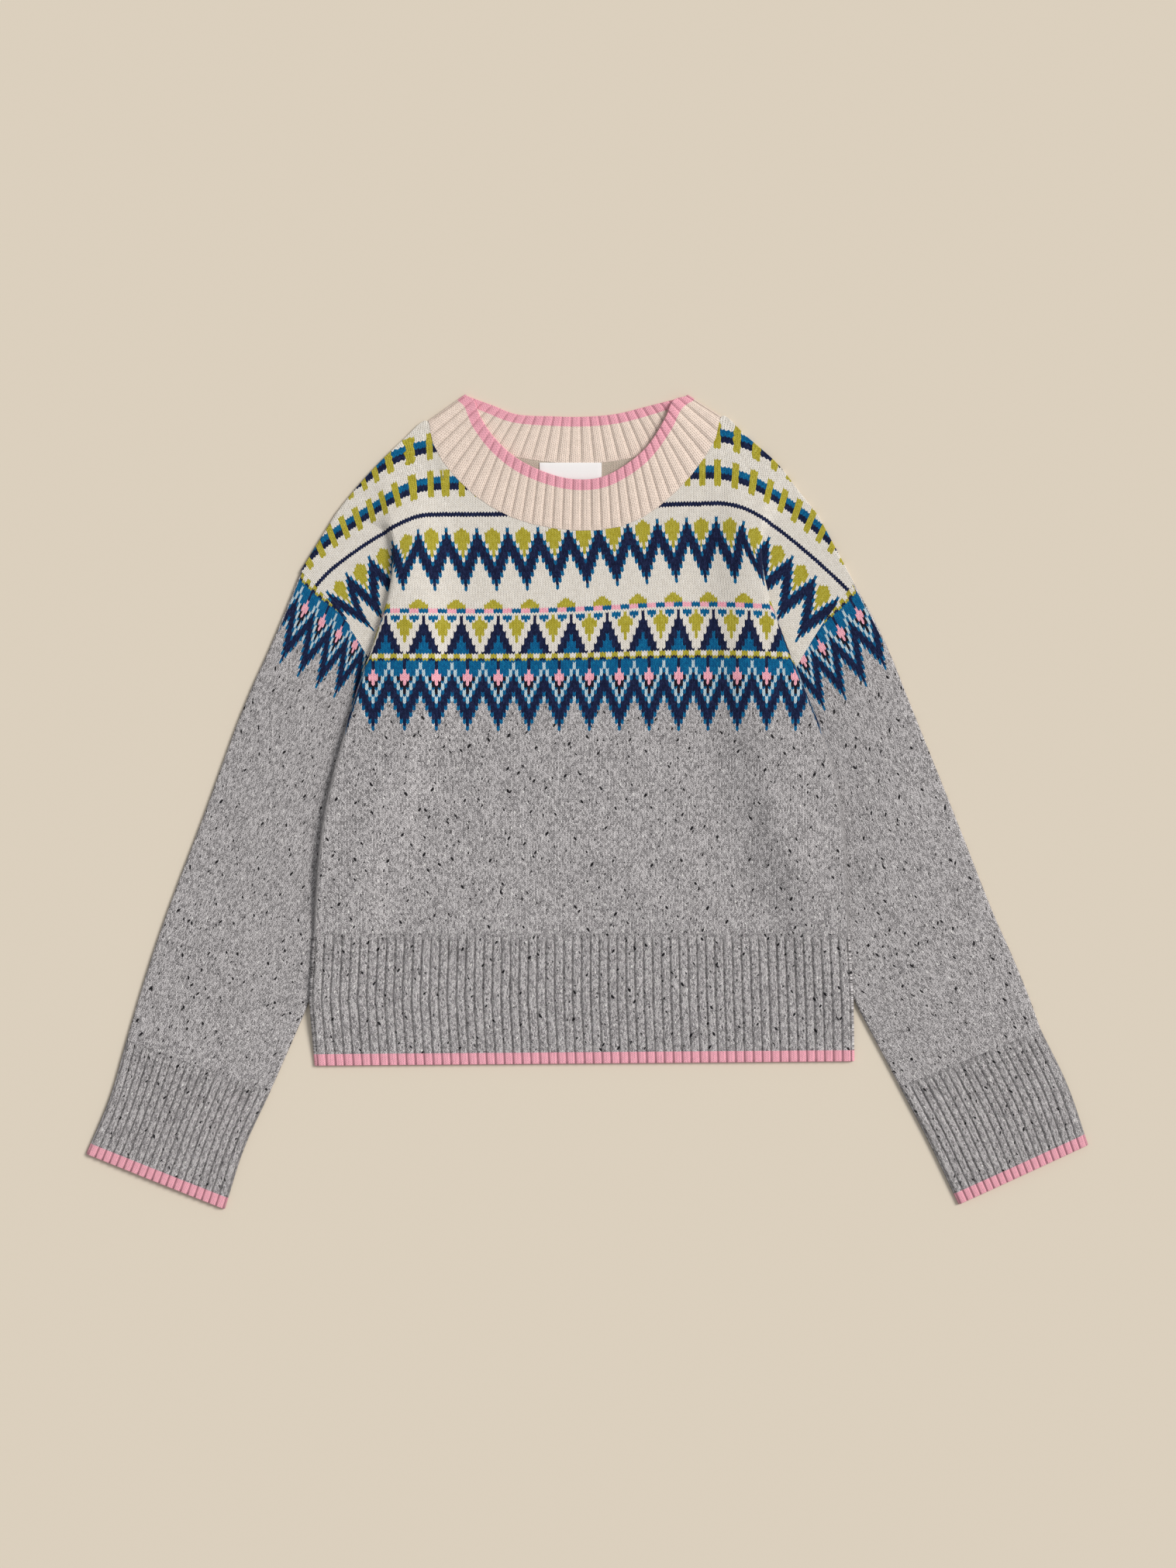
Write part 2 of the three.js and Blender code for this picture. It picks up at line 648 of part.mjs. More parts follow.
// The neckband is one ring of rib: the front half stands on the back half and turns into
// it at the two shoulder points. The back half shows its inner side, so its ribs are there.
function neckband() {
  const inset = TUBE_TURN + WALL / 2;
  const cornerOf = (name) => {
    const { neckPoint, collarPoint, out } = SIDES[name];
    const along = new THREE.Vector2(collarPoint[0] - neckPoint[0], collarPoint[1] - neckPoint[1]).normalize();
    const away = out < 0 ? [-along.y, along.x] : [along.y, -along.x];
    const pull = (point, up) => [
      point[0] - away[0] * inset + along.x * up,
      point[1] - away[1] * inset + along.y * up,
    ];
    return { seam: pull(neckPoint, CORNER_SEAM_RISE), edge: pull(collarPoint, 0), away };
  };
  const left = cornerOf('left');
  const right = cornerOf('right');
  const frontSeam = neckSeam(NECK_SEAM_FRONT, left.seam, right.seam);
  const frontEdge = curveThrough([left.edge, ...COLLAR_EDGE_FRONT, right.edge]);
  const backSeam = neckSeam(NECK_SEAM_BACK, left.seam, right.seam);
  const backEdge = curveThrough([right.edge, ...COLLAR_EDGE_BACK.slice().reverse(), left.edge]);
  const pullIn = (seam, edge, share) => {
    const size = Math.hypot(edge[0] - seam[0], edge[1] - seam[1]);
    return mix(seam, edge, Math.max(share, NECK_SEAM_GAP / size));
  };
  const stations = [];
  const frontSteps = NECK_FRONT_RIBS * RIB_STITCHES;
  const backSteps = NECK_BACK_RIBS * RIB_STITCHES;
  for (let i = 0; i <= frontSteps; i += 1) {
    const share = i / frontSteps;
    stations.push({
      seam: frontSeam(share),
      edge: frontEdge(share),
      level: (up) => UPPER_LAYER + NECK_STAND * Math.sin(Math.PI * share) * up,
      raised: i > 0 && i < frontSteps ? ribRaise(i) : 0,
      raisedInside: 0,
    });
  }
  const corner = (place, falling) => {
    for (let i = 1; i < TUBE_TURN_STEPS; i += 1) {
      const angle = (Math.PI * i) / TUBE_TURN_STEPS;
      const reach = TUBE_TURN * Math.sin(angle);
      const z = FLOOR_LAYER + TUBE_TURN * (1 + (falling ? 1 : -1) * Math.cos(angle));
      const push = (point) => [point[0] + place.away[0] * reach, point[1] + place.away[1] * reach];
      stations.push({
        seam: push(place.seam),
        edge: push(place.edge),
        level: () => z,
        raised: 0,
        raisedInside: 0,
      });
    }
  };
  corner(right, true);
  for (let i = 0; i <= backSteps; i += 1) {
    const share = i / backSteps;
    const edge = backEdge(share);
    const shows = Math.abs(edge[0] - CENTRE_X) < NECK_RIB_SHOWS_WITHIN;
    stations.push({
      seam: backSeam(1 - share),
      edge,
      level: () => FLOOR_LAYER,
      raised: 0,
      raisedInside: shows ? ribRaise(i) : 0,
    });
  }
  corner(left, false);
  const grid = [];
  for (let j = 0; j <= NECK_ROWS; j += 1) {
    const up = 1 - j / NECK_ROWS;
    grid.push(stations.map(({ seam, edge, level }) => {
      const [x, y] = pullIn(seam, edge, up);
      return new THREE.Vector3(x, y, level(up));
    }));
  }
  return wall({
    grid,
    closed: true,
    raise: (j, i) => stations[i].raised,
    raiseInner: (j, i) => stations[i].raisedInside,
  });
}

// A small woven tab lying on the inside of the back
function tab({ x, y, width, height, thick }) {
  const geometry = new THREE.BoxGeometry(width, height, thick);
  geometry.translate(x, y, WALL + GAP + thick / 2);
  return geometry;
}

function piece(name, geometry, colour, roughness = ROUGHNESS.knit) {
  const material = new THREE.MeshStandardMaterial({ color: colour, roughness, metalness: 0 });
  const mesh = new THREE.Mesh(geometry, material);
  mesh.name = name;
  return mesh;
}

const jumper = new THREE.Group();
jumper.add(piece('front', panel(LAYERS.front), COLOURS.cream));
jumper.add(piece('back', panel(LAYERS.back), COLOURS.grey));
jumper.add(piece('hem_front', hemFront(), COLOURS.grey));
jumper.add(piece('hem_back', hemBack(), COLOURS.grey));
jumper.add(piece('neckband', neckband(), COLOURS.oatmeal));
for (const name of ['left', 'right']) {
  jumper.add(piece(`sleeve_${name}`, sleeve(name), COLOURS.grey));
  jumper.add(piece(`cuff_${name}`, cuff(name), COLOURS.grey));
}
jumper.add(piece('neck_label', tab(LABEL), COLOURS.white, ROUGHNESS.woven));
jumper.add(piece('size_tab', tab(TAB), COLOURS.white, ROUGHNESS.woven));

export default jumper;
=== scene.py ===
"""Looks of the fair isle jumper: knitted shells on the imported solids, laid flat on a pale floor.

Lengths are in millimetres until a mesh, lamp or camera is made, which are in metres.
"""
import math
from collections import namedtuple
from functools import partialmethod

import bpy
import numpy as np
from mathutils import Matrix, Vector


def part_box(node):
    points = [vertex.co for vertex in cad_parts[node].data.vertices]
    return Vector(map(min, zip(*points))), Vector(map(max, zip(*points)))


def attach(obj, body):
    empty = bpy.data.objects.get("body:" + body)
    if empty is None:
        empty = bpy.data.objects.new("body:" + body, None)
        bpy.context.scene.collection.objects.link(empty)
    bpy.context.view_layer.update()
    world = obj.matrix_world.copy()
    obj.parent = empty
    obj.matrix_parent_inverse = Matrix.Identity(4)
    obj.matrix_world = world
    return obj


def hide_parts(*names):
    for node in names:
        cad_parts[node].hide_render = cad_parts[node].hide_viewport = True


MM = 0.001

# Cloth, as in the solids
WALL = 1.7
PITCH = WALL + 0.36
FLOOR_LAYER = WALL / 2
UPPER_LAYER = FLOOR_LAYER + PITCH
FOLD_RISE = 4 * PITCH
INNER_TURN = PITCH / 2
OUTER_TURN = INNER_TURN + PITCH
SIDE_TURN = PITCH
TUBE_TURN = PITCH / 2
CHEST_SLOPE = 46
STACK_CLEARANCE = 10
CENTRE_X = -2.5
HEM_TOP_Y = -119
HEM_BOTTOM = {"left": -238, "right": -234}
HEM_RIBS = 60
CUFF_RIBS = 19
RIB_STITCHES = 3
NECK_FRONT_RIBS = 33
NECK_BACK_RIBS = 25
NECK_STAND = 2.2
NECK_SEAM_LAP = 0.8
NECK_SEAM_RAISE = 0.25
NECK_FAN = 0.19
NECK_RIGHT_STAND = 3.2
NECK_DEPTH = 42
NECK_ROWS = 12
HEM_ROWS = 36
RIB_DETAIL = 5
CORNER_SEAM_RISE = 1.6
SLEEVE_CROWN = 1.6
CROWN_REACH = 0.32
START_LINE_REACH = 0.3

# Soft creases over the cloth: where each starts and ends, its half width, and its rise or fall
Crease = namedtuple("Crease", "start end width rise")
CREASES = [
    Crease((-172, 30), (-42, -14), 15, -1.2),
    Crease((-165, 6), (-70, -34), 13, 0.8),
    Crease((-22, -20), (76, -108), 17, 1.3),
    Crease((-60, -52), (12, -112), 14, -0.7),
    Crease((108, -26), (188, -140), 19, -1.3),
    Crease((150, 20), (206, -92), 16, 1.0),
    Crease((-196, -60), (-120, -150), 20, -0.9),
    Crease((-120, 60), (-20, 84), 16, 0.6),
    Crease((40, 60), (150, 30), 18, -0.7),
    Crease((20, -150), (60, -215), 16, 0.6),
    Crease((-330, 20), (-250, -28), 15, -1.1),
    Crease((-318, -8), (-262, -52), 13, 0.9),
    Crease((-372, -104), (-288, -128), 16, 0.9),
    Crease((-352, -178), (-312, -196), 15, -0.9),
    Crease((280, 62), (232, -10), 14, -1.0),
    Crease((322, -20), (246, -78), 15, 0.9),
    Crease((352, -102), (262, -116), 16, -0.9),
    Crease((384, -172), (296, -160), 15, 0.9),
]
BODY_LOFT = 1.6
LOFT_START = 6
LOFT_REACH = 46
LOFT_TOP = 225
LOFT_TOP_REACH = 90
LOFT_FOOT = -236
LOFT_FOOT_REACH = 70

# Finer form than the solids have
GROOVE_DEPTH = 0.45
GROOVE_WIDTH = 0.42
RIB_CREST = 0.62
EDGE_ROLL = 0.5
RIB_START = 0.07
CURVE_STEPS = 64
CELL = 3.4
SWING = 1.5

# Stitches: width, height and the course where each pattern starts
STITCH_WIDTH = 2.709
STITCH_HEIGHT = 2.03
FIRST_COURSE_Y = 260.8
V_RISE = 1.5

SIDES = {
    "left": {
        "out": -1,
        "neck_point": (-144.6, 343),
        "collar_point": (-110.3, 367.4),
        "shoulder": [(-258, 208), (-245.4, 232.4), (-209.6, 280.7), (-170.5, 322), (-144.6, 343)],
        "armhole": [(-258, 208), (-225.8, 172.9), (-198.5, 131.6), (-166.3, 76.3)],
        "apex": (-172.6, 232.4),
        "hem_corner": (-247, HEM_TOP_Y),
    },
    "right": {
        "out": 1,
        "neck_point": (121.5, 347.2),
        "collar_point": (90.7, 367.1),
        "shoulder": [(240.5, 196.7), (226.5, 221.9), (208.3, 256.9), (190.8, 279.3), (170.5, 305.2),
                     (121.5, 347.2)],
        "armhole": [(240.5, 196.7), (215.3, 164.5), (188.7, 121.1), (161.4, 69.3)],
        "apex": (155.8, 226),
        "hem_corner": (236.6, HEM_TOP_Y),
    },
}

# The edge of the body that shows: y, left x, right x
EdgeRow = namedtuple("EdgeRow", "y left right")
BODY_EDGE = [
    EdgeRow(232, -172.6, 154.6),
    EdgeRow(192, -177.8, 161.4),
    EdgeRow(164, -185.0, 170.9),
    EdgeRow(129, -198.0, 185.2),
    EdgeRow(94, -209.7, 198.5),
    EdgeRow(59, -219.4, 214.2),
    EdgeRow(24, -230.0, 224.6),
    EdgeRow(-11, -237.7, 230.4),
    EdgeRow(-46, -242.8, 233.4),
    EdgeRow(-116, -247.0, 236.5),
    EdgeRow(-179, -250.6, 239.8),
    EdgeRow(-238, -246.0, 241.2),
]

# How high the side stack lifts the chest, as a share of FOLD_RISE
LiftRow = namedtuple("LiftRow", "y share")
LIFT = [LiftRow(294, 0), LiftRow(240, 1), LiftRow(-72, 1), LiftRow(-112, 0.5), LiftRow(-184, 0.5),
        LiftRow(-236, 0)]

NECK_SEAM_FRONT = [(-139.7, 326.2), (-129.9, 307.3), (-115.9, 290.5), (-99.1, 275.1), (-71.1, 258.3),
                   (-38.9, 248.6), (1.8, 245.0), (36.4, 250.6), (64.4, 266.7), (90.0, 291.0),
                   (101.2, 305.2), (114.5, 326.2)]
NECK_SEAM_BACK = [(-110.3, 325.5), (-82.3, 315.7), (-42.4, 308.0), (-8.8, 305.9), (14.4, 306.6),
                  (43.0, 311.5), (78.8, 323.0)]
COLLAR_EDGE_FRONT = [(-103.2, 362.5), (-97.0, 347.2), (-85.0, 329.0), (-66.9, 311.5), (-47.3, 300.3),
                     (-20.0, 291.2), (2.0, 290.0), (17.5, 293.5), (36.8, 304.5), (54.3, 319.9),
                     (70.4, 345.1), (77.9, 361.4)]
COLLAR_EDGE_BACK = [(-85.1, 357.0), (-64.8, 349.3), (-31.2, 347.2), (-1.8, 346.9), (25.6, 349.3),
                    (54.3, 356.3)]

# A tube's stations: outer edge, inner edge, and the share of the width left uncovered
Station = namedtuple("Station", "outer inner open")
SLEEVE_STATIONS = {
    "left": [
        Station((-258.0, 207.9), (-166.3, 76.3), 0.55),
        Station((-281.1, 150.5), (-181.7, 30.1), 0.62),
        Station((-309.8, 85.4), (-201.3, -29.4), 0.66),
        Station((-346.9, -15.4), (-226.5, -105.0), 0.82),
        Station((-379.8, -102.2), (-251.0, -180.6), 1),
        Station((-398.7, -158.2), (-268.8, -222.6), 1),
        Station((-415.5, -214.9), (-286.0, -261.8), 1),
    ],
    "right": [
        Station((240.5, 196.7), (161.4, 69.3), 0.55),
        Station((265.0, 151.9), (174.0, 23.8), 0.6),
        Station((292.3, 85.4), (190.8, -35.7), 0.64),
        Station((334.9, -21.0), (213.2, -109.2), 0.8),
        Station((367.2, -102.9), (239.8, -177.1), 1),
        Station((391.0, -156.8), (262.9, -221.2), 1),
        Station((409.2, -205.8), (281.8, -256.9), 1),
    ],
}
CUFF_STATIONS = {
    "left": [
        Station((-415.5, -214.9), (-286.0, -261.8), 1),
        Station((-430.2, -265.3), (-304.9, -301.0), 1),
        Station((-451.9, -317.5), (-326.9, -367.5), 1),
    ],
    "right": [
        Station((409.2, -205.8), (281.8, -256.9), 1),
        Station((432.6, -254.0), (307.0, -305.2), 1),
        Station((451.9, -309.4), (335.0, -363.3), 1),
    ],
}

# Rows of the front and the back: share of the chest's depth, share of the armhole, slope at the fold
PanelRow = namedtuple("PanelRow", "down armhole ramp")
PANEL_ROWS = [
    PanelRow(0.0, 0.0, None),
    PanelRow(0.055, 0.15, 42),
    PanelRow(0.11, 0.28, 20),
    PanelRow(0.15, 0.38, 8),
    PanelRow(0.178, 0.45, 3.6),
    PanelRow(0.205, 0.51, 1.6),
    PanelRow(0.245, 0.58, 0),
    PanelRow(0.3, 0.68, 0),
    PanelRow(0.37, 0.78, 0),
    PanelRow(0.45, 0.88, 0),
    PanelRow(0.535, 0.93, 0),
    PanelRow(0.65, 1, 0),
    PanelRow(0.77, 1, 0),
    PanelRow(0.89, 1, 0),
    PanelRow(0.95, 1, 0),
    PanelRow(1.0, 1, 0),
]
APEX_ROW = 6
UNDERARM_ROW = 10
FOLD_END_ROW = 13
SHOULDER_COLUMNS = 4
TURN_COLUMNS = 4
UNDER_COLUMNS = 2
BEFORE_NECK_COLUMNS = 2
NECK_COLUMNS = 9
FOOT_COLUMN = SHOULDER_COLUMNS
UNDER_END_COLUMN = FOOT_COLUMN + TURN_COLUMNS
UNDER_START_COLUMN = UNDER_END_COLUMN + UNDER_COLUMNS
CREST_COLUMN = UNDER_START_COLUMN + TURN_COLUMNS
NECK_COLUMN = CREST_COLUMN + BEFORE_NECK_COLUMNS
CENTRE_COLUMN = NECK_COLUMN + NECK_COLUMNS
FOOT_ON_SHOULDER = 0.35
CREST_ON_SHOULDER = 0.7
SHARP_FROM = math.radians(10)
SHARP_BY = math.radians(30)
SLEEVE_FACES = {"rows": 12, "top": 10, "under": 5}
CUFF_FACES = {"rows": 2, "top": CUFF_RIBS * RIB_STITCHES, "under": 6}
TUBE_TURN_STEPS = 4

# The navy line as it bends over each shoulder, and beyond it the stitches' width and lean
Bend = namedtuple("Bend", "line width lean")
BENDS = {
    "left": Bend([(-127.8, 259), (-152.3, 256.5), (-180.3, 243.6), (-208.3, 226.1), (-236.3, 203.7),
                  (-262, 171)], 2.63, 0.095),
    "right": Bend([(103.3, 268.8), (124.3, 268.1), (141.8, 263.6), (169.8, 247.1), (197.8, 224.7),
                   (225.8, 199.5), (254, 171)], 2.81, 0.1),
}
LINE_COURSE = 1
PITCH_BELOW_LINE = 1.62
PITCH_GROWTH = 0.005
PITCH_ABOVE_LINE = 1.67
YOKE_RISE = 9.5
YOKE_RISE_X = 95
YOKE_RISE_WIDTH = 95
YOKE_SHIFT = 6.5
BEND_REACH = 60
BEND_SAMPLES = 160

# Stitches across half a sleeve at its top and at its cuff, and the wale of its outer edge
SleeveKnit = namedtuple("SleeveKnit", "top cuff first")
SLEEVE_KNIT = {"left": SleeveKnit(76, 57, -7.4), "right": SleeveKnit(62, 57, -4.3)}
SLEEVE_COURSE = 63
SLEEVE_COURSES_HIDDEN = 32
SLEEVE_COURSE_HEIGHT = 2.1

# Each piece of cloth as it was knitted: width, length and flat area in metres. The front and the
# back are measured at the underarm with what is folded under, the neckband along its seam, and
# the neckband, sleeves and cuffs all round.
Cut = namedtuple("Cut", "width length area held rests_on")

# Linear colours of the yarns
YARNS = {
    "cream": (0.74, 0.69, 0.62),
    "oatmeal": (0.86, 0.71, 0.61),
    "oatmeal_dark": (0.77, 0.62, 0.52),
    "pink": (0.86, 0.40, 0.475),
    "navy": (0.008, 0.013, 0.048),
    "black": (0.010, 0.008, 0.016),
    "teal": (0.0015, 0.108, 0.255),
    "olive": (0.42, 0.36, 0.038),
    "pale": (0.48, 0.58, 0.62),
    "inside": (0.52, 0.44, 0.36),
    "marl_light": (0.71, 0.675, 0.675),
    "marl_dark": (0.075, 0.069, 0.072),
    "nep_dark": (0.012, 0.011, 0.013),
    "nep_white": (0.85, 0.83, 0.80),
    "label": (0.88, 0.85, 0.84),
    "floor": (0.70, 0.62, 0.51),
}

# Specks in the grey yarn: direction, spacing and half width, the share of places that have one
Nep = namedtuple("Nep", "yarn turn spacing size share strength")
NEPS = [
    Nep("nep_dark", 0.6, 13, 0.95, 0.55, 1),
    Nep("nep_dark", -0.6, 12, 0.9, 0.55, 1),
    Nep("nep_dark", 0.3, 6.5, 0.6, 0.5, 0.9),
    Nep("nep_white", -0.4, 7, 0.55, 0.45, 0.8),
]

# The pattern, charted. A motif repeats every so many wales about its axis. Within its
# reach it is painted from top to foot, and both shift by their slope for each wale from the axis.
Motif = namedtuple("Motif", "yarn repeat axis reach top top_slope foot foot_slope")
CHART = [
    Motif("teal", 10, 0, 5, -33, 0, -30, 0),
    Motif("navy", 10, 0, 5, -30, 0, -27, 0),
    Motif("olive", 5, 0.5, 0.5, -36, 0, -24, 0),
    Motif("teal", 10, 0, 5, -16, 0, -13, 0),
    Motif("navy", 10, 0, 5, -13, 0, -10, 0),
    Motif("olive", 5, 0.5, 0.5, -19, 0, -7, 0),
    Motif("navy", 10, 0, 5, 0, 0, 2, 0),
    Motif("teal", 10, 5, 5, 7, 3, 20, 3),
    Motif("navy", 10, 5, 5, 9, 3, 18, 3),
    Motif("olive", 10, 0, 2, 7, 1, 19.5, -3),
    Motif("olive", 12, 4.5, 2.5, 38.5, 1, 43, 0),
    Motif("pink", 6, 3, 1, 43, 0, 45, 0),
    Motif("teal", 6, 0, 1, 43, 0, 45, 0),
    Motif("teal", 6, 3, 1, 46, 0, 49, -1),
    Motif("navy", 12, 6, 5, 46, 3.2, 63, 0),
    Motif("teal", 12, 6, 2, 54.5, 2.8, 63, 0),
    Motif("olive", 12, 0, 2, 46, 1.5, 58, -3),
    Motif("olive", 4, 0.5, 0.5, 63, 0, 65, 0),
    Motif("olive", 4, 2.5, 0.5, 65, 0, 66, 0),
    Motif("navy", 4, 0.5, 0.5, 65, 0, 66, 0),
    Motif("teal", 10, 0, 5, 66, 0, 82, -3),
    Motif("pale", 10, 0, 5, 82, -3, 85, -3),
    Motif("teal", 10, 0, 5, 85, -3, 97, -3),
    Motif("navy", 10, 0, 5, 87, -3, 95, -3),
    Motif("navy", 10, 0, 0, 66, 0, 70, 0),
    Motif("pink", 10, 0, 1, 70, 2, 78, -2),
    Motif("black", 10, 0, 2, 77, -2.2, 81, -3),
]
MARL = Motif("marl", 10, 0, 5, 97, -3, 1000, 0)
TIP = Motif("pale", 10, 5, 0, 82, 0, 84, 0)
PINK_COURSES = 5
NECK_PINK_COURSES = 4.2

# The photograph's frame, for the camera
FRAME_WIDTH = 1061.9
FRAME_HEIGHT = 1416.1
FRAME_CENTRE = (0.7, 15.75)
CAMERA_HEIGHT = 2600
SENSOR = 36


def smooth(share):
    share = np.clip(share, 0, 1)
    return share * share * (3 - 2 * share)


def mix(start, end, share):
    return np.asarray(start, float) * (1 - share) + np.asarray(end, float) * share


def curve_through(points):
    """A smooth curve through points, read by the share of its length."""
    points = np.array(points, float)
    around = np.vstack([2 * points[0] - points[1], points, 2 * points[-1] - points[-2]])
    line = []
    for p0, p1, p2, p3 in zip(around, around[1:], around[2:], around[3:]):
        a, b, c = (math.sqrt(math.dist(p, q)) for p, q in ((p0, p1), (p1, p2), (p2, p3)))
        leave = ((p1 - p0) / a - (p2 - p0) / (a + b) + (p2 - p1) / b) * b
        arrive = ((p2 - p1) / b - (p3 - p1) / (b + c) + (p3 - p2) / c) * b
        line.append(hermite(p1, leave, p2, arrive, np.arange(CURVE_STEPS)[:, None] / CURVE_STEPS))
    line = np.vstack([*line, points[-1:]])
    travelled = np.concatenate([[0], np.cumsum(np.linalg.norm(np.diff(line, axis=0), axis=1))])
    travelled /= travelled[-1]

    def at(share):
        return np.array([np.interp(share, travelled, line[:, k]) for k in (0, 1)])

    return at


def hermite(start, leave, end, arrive, t):
    return ((2 * t**3 - 3 * t**2 + 1) * start + (t**3 - 2 * t**2 + t) * leave
            + (3 * t**2 - 2 * t**3) * end + (t**3 - t**2) * arrive)


def read_table(table, y, column):
    """Straight-line reading of a table whose rows run down in y."""
    heights = [-row.y for row in table]
    return np.interp(-y, heights, [getattr(row, column) for row in table])


def stack_edge(name, y):
    """The inner edge of what lies under the body at height y, on one side."""
    apex = SIDES[name]["apex"]
    underarm = SIDES[name]["armhole"][-1]
    inner = SLEEVE_STATIONS[name]
    heights = [-apex[1]] + [-station.inner[1] for station in inner]
    places = [apex[0]] + [station.inner[0] for station in inner]
    places[1] = underarm[0]
    return np.interp(-y, heights, places)


def side_lift(name, x, y):
    out = SIDES[name]["out"]
    plateau = stack_edge(name, y) - out * STACK_CLEARANCE
    inward = -out * (x - plateau)
    return FOLD_RISE * read_table(LIFT, y, "share") * (1 - smooth(inward / CHEST_SLOPE))


def body_lift(x, y):
    return side_lift("left", x, y) + side_lift("right", x, y)


def fold_path(lap, first_turn, last_turn):
    """The way through a fold in section: turn down, run straight, turn back to level."""
    angle = 2 * math.atan2(first_turn + last_turn, max(lap, 0))
    straight = abs(lap)
    lengths = (first_turn * angle, straight, last_turn * angle)
    total = sum(lengths)
    steps = 2 * TURN_COLUMNS + UNDER_COLUMNS
    sharpness = min(max((angle - SHARP_FROM) / (SHARP_BY - SHARP_FROM), 0), 1)
    points = []
    for step in range(steps + 1):
        by_turn = lengths[0] * step / TURN_COLUMNS
        if step > TURN_COLUMNS:
            by_turn = lengths[0] + straight * (step - TURN_COLUMNS) / UNDER_COLUMNS
        if step > TURN_COLUMNS + UNDER_COLUMNS:
            by_turn = total - lengths[2] * (steps - step) / TURN_COLUMNS
        distance = min(max(total * step / steps * (1 - sharpness) + by_turn * sharpness, 0), total)
        first = min(distance, lengths[0]) / first_turn
        middle = min(max(distance - lengths[0], 0), straight)
        last = max(distance - lengths[0] - straight, 0) / last_turn
        outward = (first_turn * math.sin(first) + middle * math.cos(angle)
                   + last_turn * (math.sin(angle) - math.sin(angle - last)))
        drop = (first_turn * (1 - math.cos(first)) + middle * math.sin(angle)
                + last_turn * (math.cos(angle - last) - math.cos(angle)))
        points.append((outward, drop))
    return points


def fold_foot(name, y):
    """The line where the folded-under cloth turns back out, or ends at the side seam."""
    side = SIDES[name]
    corners = [side["apex"], side["armhole"][-1], side["hem_corner"]]
    return np.interp(-y, [-corner[1] for corner in corners], [corner[0] for corner in corners])


def half_row(name, layer, row_index):
    """Half of one row of a panel, from the armhole or side seam to the centre line."""
    side = SIDES[name]
    row = PANEL_ROWS[row_index]
    out = side["out"]
    shoulder = curve_through(side["shoulder"])
    seam_points = layer["neck"] if row_index == 0 else NECK_SEAM_FRONT
    neck = curve_through([SIDES["left"]["neck_point"], *seam_points, SIDES["right"]["neck_point"]])
    settle = smooth(row.down / PANEL_ROWS[APEX_ROW].down)
    crest_start = shoulder(CREST_ON_SHOULDER)
    crest_y = mix(crest_start[1], HEM_TOP_Y, row.down)
    turn = SIDE_TURN if row_index > FOLD_END_ROW else OUTER_TURN
    edge_x = read_table(BODY_EDGE, crest_y, name) - out * (turn + WALL / 2)
    crest = np.array([mix(crest_start[0], edge_x, settle), crest_y])
    share = read_table(LIFT, crest_y, "share")
    level = layer["level"]
    foot = shoulder(FOOT_ON_SHOULDER)
    outward = np.array([out, 0.0])
    if row_index > 0:
        slope = foot - crest_start
        outward = mix(slope / np.linalg.norm(slope), outward, settle)
        outward /= np.linalg.norm(outward)
        lap = row.ramp
        if row_index >= APEX_ROW:
            lap = out * (fold_foot(name, crest_y) - crest[0])
        foot = crest + outward * lap
    seam = curve_through(side["armhole"])(row.armhole)
    points = [(*mix(seam, foot, i / SHOULDER_COLUMNS), level) for i in range(FOOT_COLUMN)]
    steps = CREST_COLUMN - FOOT_COLUMN
    if row_index == 0:
        for step in range(steps, -1, -1):
            points.append((*shoulder(mix(CREST_ON_SHOULDER, FOOT_ON_SHOULDER, step / steps)), level))
    else:
        first_turn = SIDE_TURN if row_index > FOLD_END_ROW else layer["first_turn"] * share
        path = fold_path((foot - crest) @ outward, first_turn, layer["last_turn"] * share)
        for reach, drop in reversed(path):
            points.append((*(crest + outward * reach), level + FOLD_RISE * share - drop))
    for i in range(CREST_COLUMN + 1, CENTRE_COLUMN + 1):
        before_neck = mix(CREST_ON_SHOULDER, 1, (i - CREST_COLUMN) / BEFORE_NECK_COLUMNS)
        across = (i - NECK_COLUMN) / NECK_COLUMNS / 2
        top = shoulder(before_neck) if i <= NECK_COLUMN else neck(across if out < 0 else 1 - across)
        even_x = mix(crest[0], CENTRE_X, (i - CREST_COLUMN) / (CENTRE_COLUMN - CREST_COLUMN))
        x = mix(top[0], even_x, settle)
        y = mix(top[1], HEM_TOP_Y, row.down)
        points.append((x, y, level + (0 if row_index == 0 else body_lift(x, y))))
    return points


LAYERS = {
    "front": {"level": UPPER_LAYER, "first_turn": OUTER_TURN, "last_turn": INNER_TURN,
              "neck": NECK_SEAM_FRONT, "edge_columns": TURN_COLUMNS // 2, "purl": "inner"},
    "back": {"level": FLOOR_LAYER, "first_turn": INNER_TURN, "last_turn": OUTER_TURN,
             "neck": NECK_SEAM_BACK, "edge_columns": 0, "purl": "outer"},
}


def steps_between(grid):
    """How many fine steps each interval of a grid's first axis takes."""
    gaps = np.linalg.norm(np.diff(grid, axis=0), axis=-1).max(axis=1)
    return [max(1, math.ceil(gap / CELL)) for gap in gaps]


